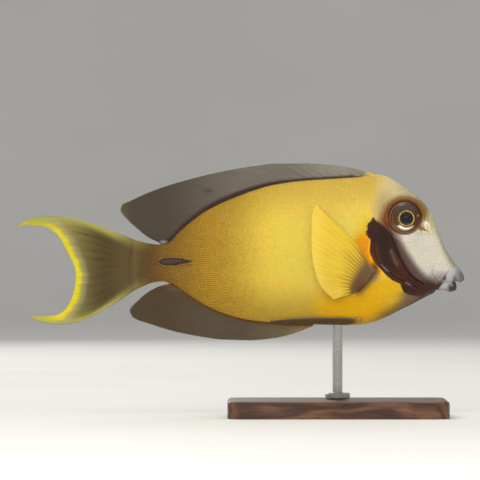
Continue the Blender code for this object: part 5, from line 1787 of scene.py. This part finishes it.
def lens(around, rings):
    """A lens round its own z: its corners with a 1 after them, and its faces."""
    turn = np.linspace(0.0, 2 * math.pi, around, endpoint=False)
    slope = np.linspace(0.0, math.pi, rings + 1)[1:-1]
    radius = np.sin(slope)[:, None] * EYE_RADIUS
    depth = np.cos(slope)[:, None] * np.full(around, EYE_DEPTH)
    flat = np.stack([
        radius * np.cos(turn), radius * np.sin(turn), depth, np.ones((rings - 1, around)),
    ], axis=-1)
    poles = np.array([[0.0, 0.0, EYE_DEPTH, 1.0], [0.0, 0.0, -EYE_DEPTH, 1.0]])
    first, last = (rings - 1) * around, (rings - 1) * around + 1
    faces = [(first, k, (k + 1) % around) for k in range(around)]
    for r in range(rings - 2):
        here, below = r * around, (r + 1) * around
        faces += [
            (here + k, below + k, below + (k + 1) % around, here + (k + 1) % around)
            for k in range(around)
        ]
    edge = (rings - 2) * around
    faces += [(last, edge + (k + 1) % around, edge + k) for k in range(around)]
    return np.concatenate([flat.reshape(-1, 4), poles]), faces


def make_eyes(finish):
    """Lens-shaped eyes with the iris's rings and the bulging pupil in their front."""
    local, faces = lens(EYE_TURNS, EYE_RINGS)
    for side, word in SIDES:
        matrix = np.array(eye_matrix(side))
        placed = local @ matrix.T
        x, z = placed[:, 0], placed[:, 2]
        front = local[:, 2] > 0
        inner = np.hypot(x - PUPIL_CENTRE[0], z - PUPIL_CENTRE[1])
        rise = PUPIL_RISE * smooth_step((PUPIL_RADIUS + 0.1 - inner) / 0.9)
        rise = rise + RING_RISE * bump(inner - np.mean(PUPIL_RINGS), 0.3)
        radius, depth = IRIS_GROOVE
        away = np.hypot(x - EYE_CENTRE[0], z - EYE_CENTRE[1])
        rise = rise - depth * bump(away - radius, 0.3)
        placed = placed[:, :3] + np.where(front, rise, 0.0)[:, None] * matrix[:3, 2]
        eye = new_object(f"eye_{word}_glass", placed, faces)
        turn_outward(eye.data)
        paint(eye.data, eye_tint(x, z))
        eye.data.shade_smooth()
        eye.data.materials.append(finish)
        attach(eye, "root")
        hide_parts(f"eye_{word}")


def make_blades(finish):
    """The folded blades of the tail stalk, lying in their grooves."""
    form = Form(
        blade_top, blade_bottom, line(BLADE_HALF_WIDTH),
        level=lambda x: (blade_top(x) + blade_bottom(x)) / 2, edge=always(BLADE_EDGE),
    )
    first, last = BLADE_TOP[0][0], BLADE_TOP[-1][0]
    share = 0.5 - 0.5 * np.cos(np.linspace(0.0, math.pi, 41))
    angle = np.linspace(-math.pi / 2, math.pi / 2, 21)
    x, angle = np.meshgrid(first + (last - first) * share, angle, indexing="ij")
    z, y = form.point(x, angle)
    rings = both_halves(np.stack([x, y, z], axis=-1))
    middle = (first + last) / 2
    lean = math.atan2(float(width(last) - width(first)), last - first)
    for side, word in SIDES:
        seat = Matrix.Translation((middle, side * (float(width(middle)) - BLADE_SINK), 0.0))
        pivot = Matrix.Rotation(side * lean, 4, "Z") @ Matrix.Translation((-middle, 0.0, 0.0))
        turn = np.array(seat @ pivot)
        flat = rings.reshape(-1, 3)
        placed = np.concatenate([flat, np.ones((len(flat), 1))], axis=1) @ turn.T
        faces = tube_faces(len(rings) - 1, rings.shape[1])
        blade = new_object(f"tail_blade_{word}", placed[:, :3], faces)
        turn_outward(blade.data)
        blade.data.shade_smooth()
        blade.data.materials.append(finish)
        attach(blade, "root")
        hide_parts(f"caudal_spine_{word}")


# Stand, floor, lights and camera.
def turned_shape(name, profile, segments):
    """A shape turned about the world's middle from (radius, z) in millimetres above the floor."""
    curve = bpy.data.meshes.new(name)
    curve.from_pydata([(radius * MM, 0.0, z * MM) for radius, z in profile],
                      [(k, k + 1) for k in range(len(profile) - 1)], [])
    turned = bpy.data.objects.new(name, curve)
    bpy.context.scene.collection.objects.link(turned)
    screw = turned.modifiers.new("turned", "SCREW")
    screw.steps = screw.render_steps = segments
    screw.use_merge_vertices = True
    screw.merge_threshold = 0.00001
    mesh = evaluated_mesh(turned)
    turned.modifiers.clear()
    turned.data = mesh
    turn_outward(mesh)
    mesh.shade_smooth()
    return turned


def make_stand(wood, steel):
    """The walnut block with its edge rounded, and the turned rod with its collar."""
    long, wide, thick = BASE_SIZE
    shape = bmesh.new()
    bmesh.ops.create_cube(shape, size=1.0)
    bmesh.ops.scale(shape, vec=(long * MM, wide * MM, thick * MM), verts=shape.verts)
    bmesh.ops.translate(shape, vec=(ROD_X * MM, 0.0, thick / 2 * MM), verts=shape.verts)
    posts = [e for e in shape.edges if abs(e.verts[0].co.z - e.verts[1].co.z) > thick / 2 * MM]
    rounding = {"profile": 0.5, "affect": "EDGES"}
    bmesh.ops.bevel(shape, geom=posts, offset=BASE_CORNER * MM, segments=14, **rounding)
    rim = [e for e in shape.edges if all(v.co.z > (thick - 0.01) * MM for v in e.verts)]
    bmesh.ops.bevel(shape, geom=rim, offset=BASE_EDGE * MM, segments=5, **rounding)
    mesh = bpy.data.meshes.new("walnut_base")
    shape.to_mesh(mesh)
    shape.free()
    mesh.shade_smooth()
    mesh.set_sharp_from_angle(angle=math.radians(40.0))
    mesh.materials.append(wood)
    base = bpy.data.objects.new("walnut_base", mesh)
    bpy.context.scene.collection.objects.link(base)
    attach(base, "root")
    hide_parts("stand_base")

    head = AXIS_HEIGHT + float(belly(ROD_X)) + ROD_SINK
    collar = thick + GAP
    top = collar + COLLAR_HEIGHT
    rod = turned_shape("steel_rod", [
        (0.0, thick - ROD_FOOT), (ROD_RADIUS, thick - ROD_FOOT), (ROD_RADIUS, collar),
        (COLLAR_RADIUS - COLLAR_EASE, collar), (COLLAR_RADIUS, collar + COLLAR_EASE),
        (COLLAR_RADIUS, top - COLLAR_EASE), (COLLAR_RADIUS - COLLAR_EASE, top),
        (ROD_RADIUS + ROD_FILLET, top), (ROD_RADIUS, top + ROD_FILLET),
        (ROD_RADIUS, head), (0.0, head),
    ], 64)
    rod.data.transform(Matrix.Translation((ROD_X * MM, 0.0, 0.0)))
    rod.data.set_sharp_from_angle(angle=math.radians(35.0))
    rod.data.materials.append(steel)
    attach(rod, "root")
    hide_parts("stand_rod")


def make_floor(finish):
    """A pale studio floor that curves up all round, wide of every view."""
    flat, bend, high = 2500.0, 1300.0, 3200.0
    turn = np.linspace(0.0, math.pi / 2, 17)
    curve = [(flat + bend * math.sin(a), bend * (1 - math.cos(a))) for a in turn]
    profile = [(0.0, 0.0), (flat / 2, 0.0)] + curve + [(flat + bend, high)]
    floor = turned_shape("studio_floor", profile, 96)
    shape = bmesh.new()
    shape.from_mesh(floor.data)
    lowest = min(shape.faces, key=lambda face: face.calc_center_median().length)
    if lowest.normal.z < 0:
        bmesh.ops.reverse_faces(shape, faces=shape.faces)
    shape.to_mesh(floor.data)
    shape.free()
    floor.data.materials.append(finish)


def catchlight_place():
    """Where a small lamp is mirrored to the camera by the middle of the right eye."""
    matrix = eye_matrix(-1)
    outward = matrix.to_3x3().col[2].normalized()
    eye = matrix.translation * MM + Vector((0.0, 0.0, AXIS_HEIGHT * MM))
    to_camera = (Vector(CAMERA_PLACE) * MM - eye).normalized()
    away = 2 * outward.dot(to_camera) * outward - to_camera
    return tuple(eye + away)


def make_lights():
    """Soft boxes in front, overhead and behind, and the small lamp that the eye mirrors."""
    # Place and width in metres, power in watts, and whether glossy pieces mirror it.
    for name, spot, size, power, glints in (
        ("key", (-0.35, -1.1, 0.75), 0.9, 9.8, False),
        ("fill", (0.8, -1.0, 0.35), 0.9, 4.5, False),
        ("low", (-0.1, -1.2, 0.12), 0.6, 4.8, False),
        ("overhead", (0.0, 0.1, 1.3), 1.0, 6.0, True),
        ("behind", (-0.4, 1.1, 0.7), 0.9, 5.0, True),
        ("catchlight", catchlight_place(), 0.03, 0.014, True),
    ):
        lamp = bpy.data.lights.new(name, "AREA")
        lamp.size = size
        lamp.energy = power
        lamp.color = (1.0, 0.985, 0.96)
        holder = bpy.data.objects.new(name, lamp)
        holder.location = spot
        aim = Vector((0.0, 0.0, AXIS_HEIGHT * MM)) - Vector(spot)
        holder.rotation_euler = aim.to_track_quat("-Z", "Y").to_euler()
        holder.visible_camera = False
        holder.visible_glossy = glints
        bpy.context.scene.collection.objects.link(holder)
    world = bpy.data.worlds.new("studio_air")
    world.use_nodes = True
    air = world.node_tree.nodes["Background"].inputs
    air["Color"].default_value = (0.9, 0.92, 0.95, 1.0)
    air["Strength"].default_value = 0.55
    bpy.context.scene.world = world
    bpy.context.scene.view_settings.view_transform = "Standard"


def make_camera():
    """Square to the fish's side, as in the photo: the view is 192 mm wide at the fish."""
    seen_width = 192.0
    away = -CAMERA_PLACE[1]
    camera = bpy.data.cameras.new("photo_view")
    camera.sensor_width = 36.0
    camera.lens = camera.sensor_width * away / seen_width
    camera.clip_start = 0.01
    camera.clip_end = 50.0
    holder = bpy.data.objects.new("photo_view", camera)
    holder.location = Vector(CAMERA_PLACE) * MM
    holder.rotation_euler = (math.pi / 2, 0.0, 0.0)
    bpy.context.scene.collection.objects.link(holder)
    bpy.context.scene.camera = holder


def main():
    make_camera()
    satin = skin_finish()
    skin = make_skin()
    skin.data.materials.append(satin)
    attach(skin, "root")
    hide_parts("head", "gill_cover_left", "gill_cover_right", "upper_lip", "lower_lip",
                "torso", "caudal_peduncle")
    make_scales(satin)

    tree = ray_sweep_tree()
    dark = fin_finish("grey_brown_fin", 90.0, 30.0, 0.5)
    dark_rays = fin_finish("grey_brown_rays", 30.0, 60.0, 0.46)
    make_median_fins(tree, dark, dark_rays)
    tail = fin_finish("tail_membrane", 60.0, 30.0, 0.48)
    make_tail(tree, tail, fin_finish("tail_rays", 20.0, 60.0, 0.44))
    yellow = fin_finish("pectoral_membrane", 50.0, 24.0, 0.46)
    make_pectorals(tree, yellow, fin_finish("pectoral_rays", 20.0, 50.0, 0.42))
    make_pelvics(tree, dark, dark_rays)
    make_eyes(eye_finish())
    make_blades(horn_finish())
    make_stand(walnut_finish(), steel_finish())
    make_floor(floor_finish())
    make_lights()


main()
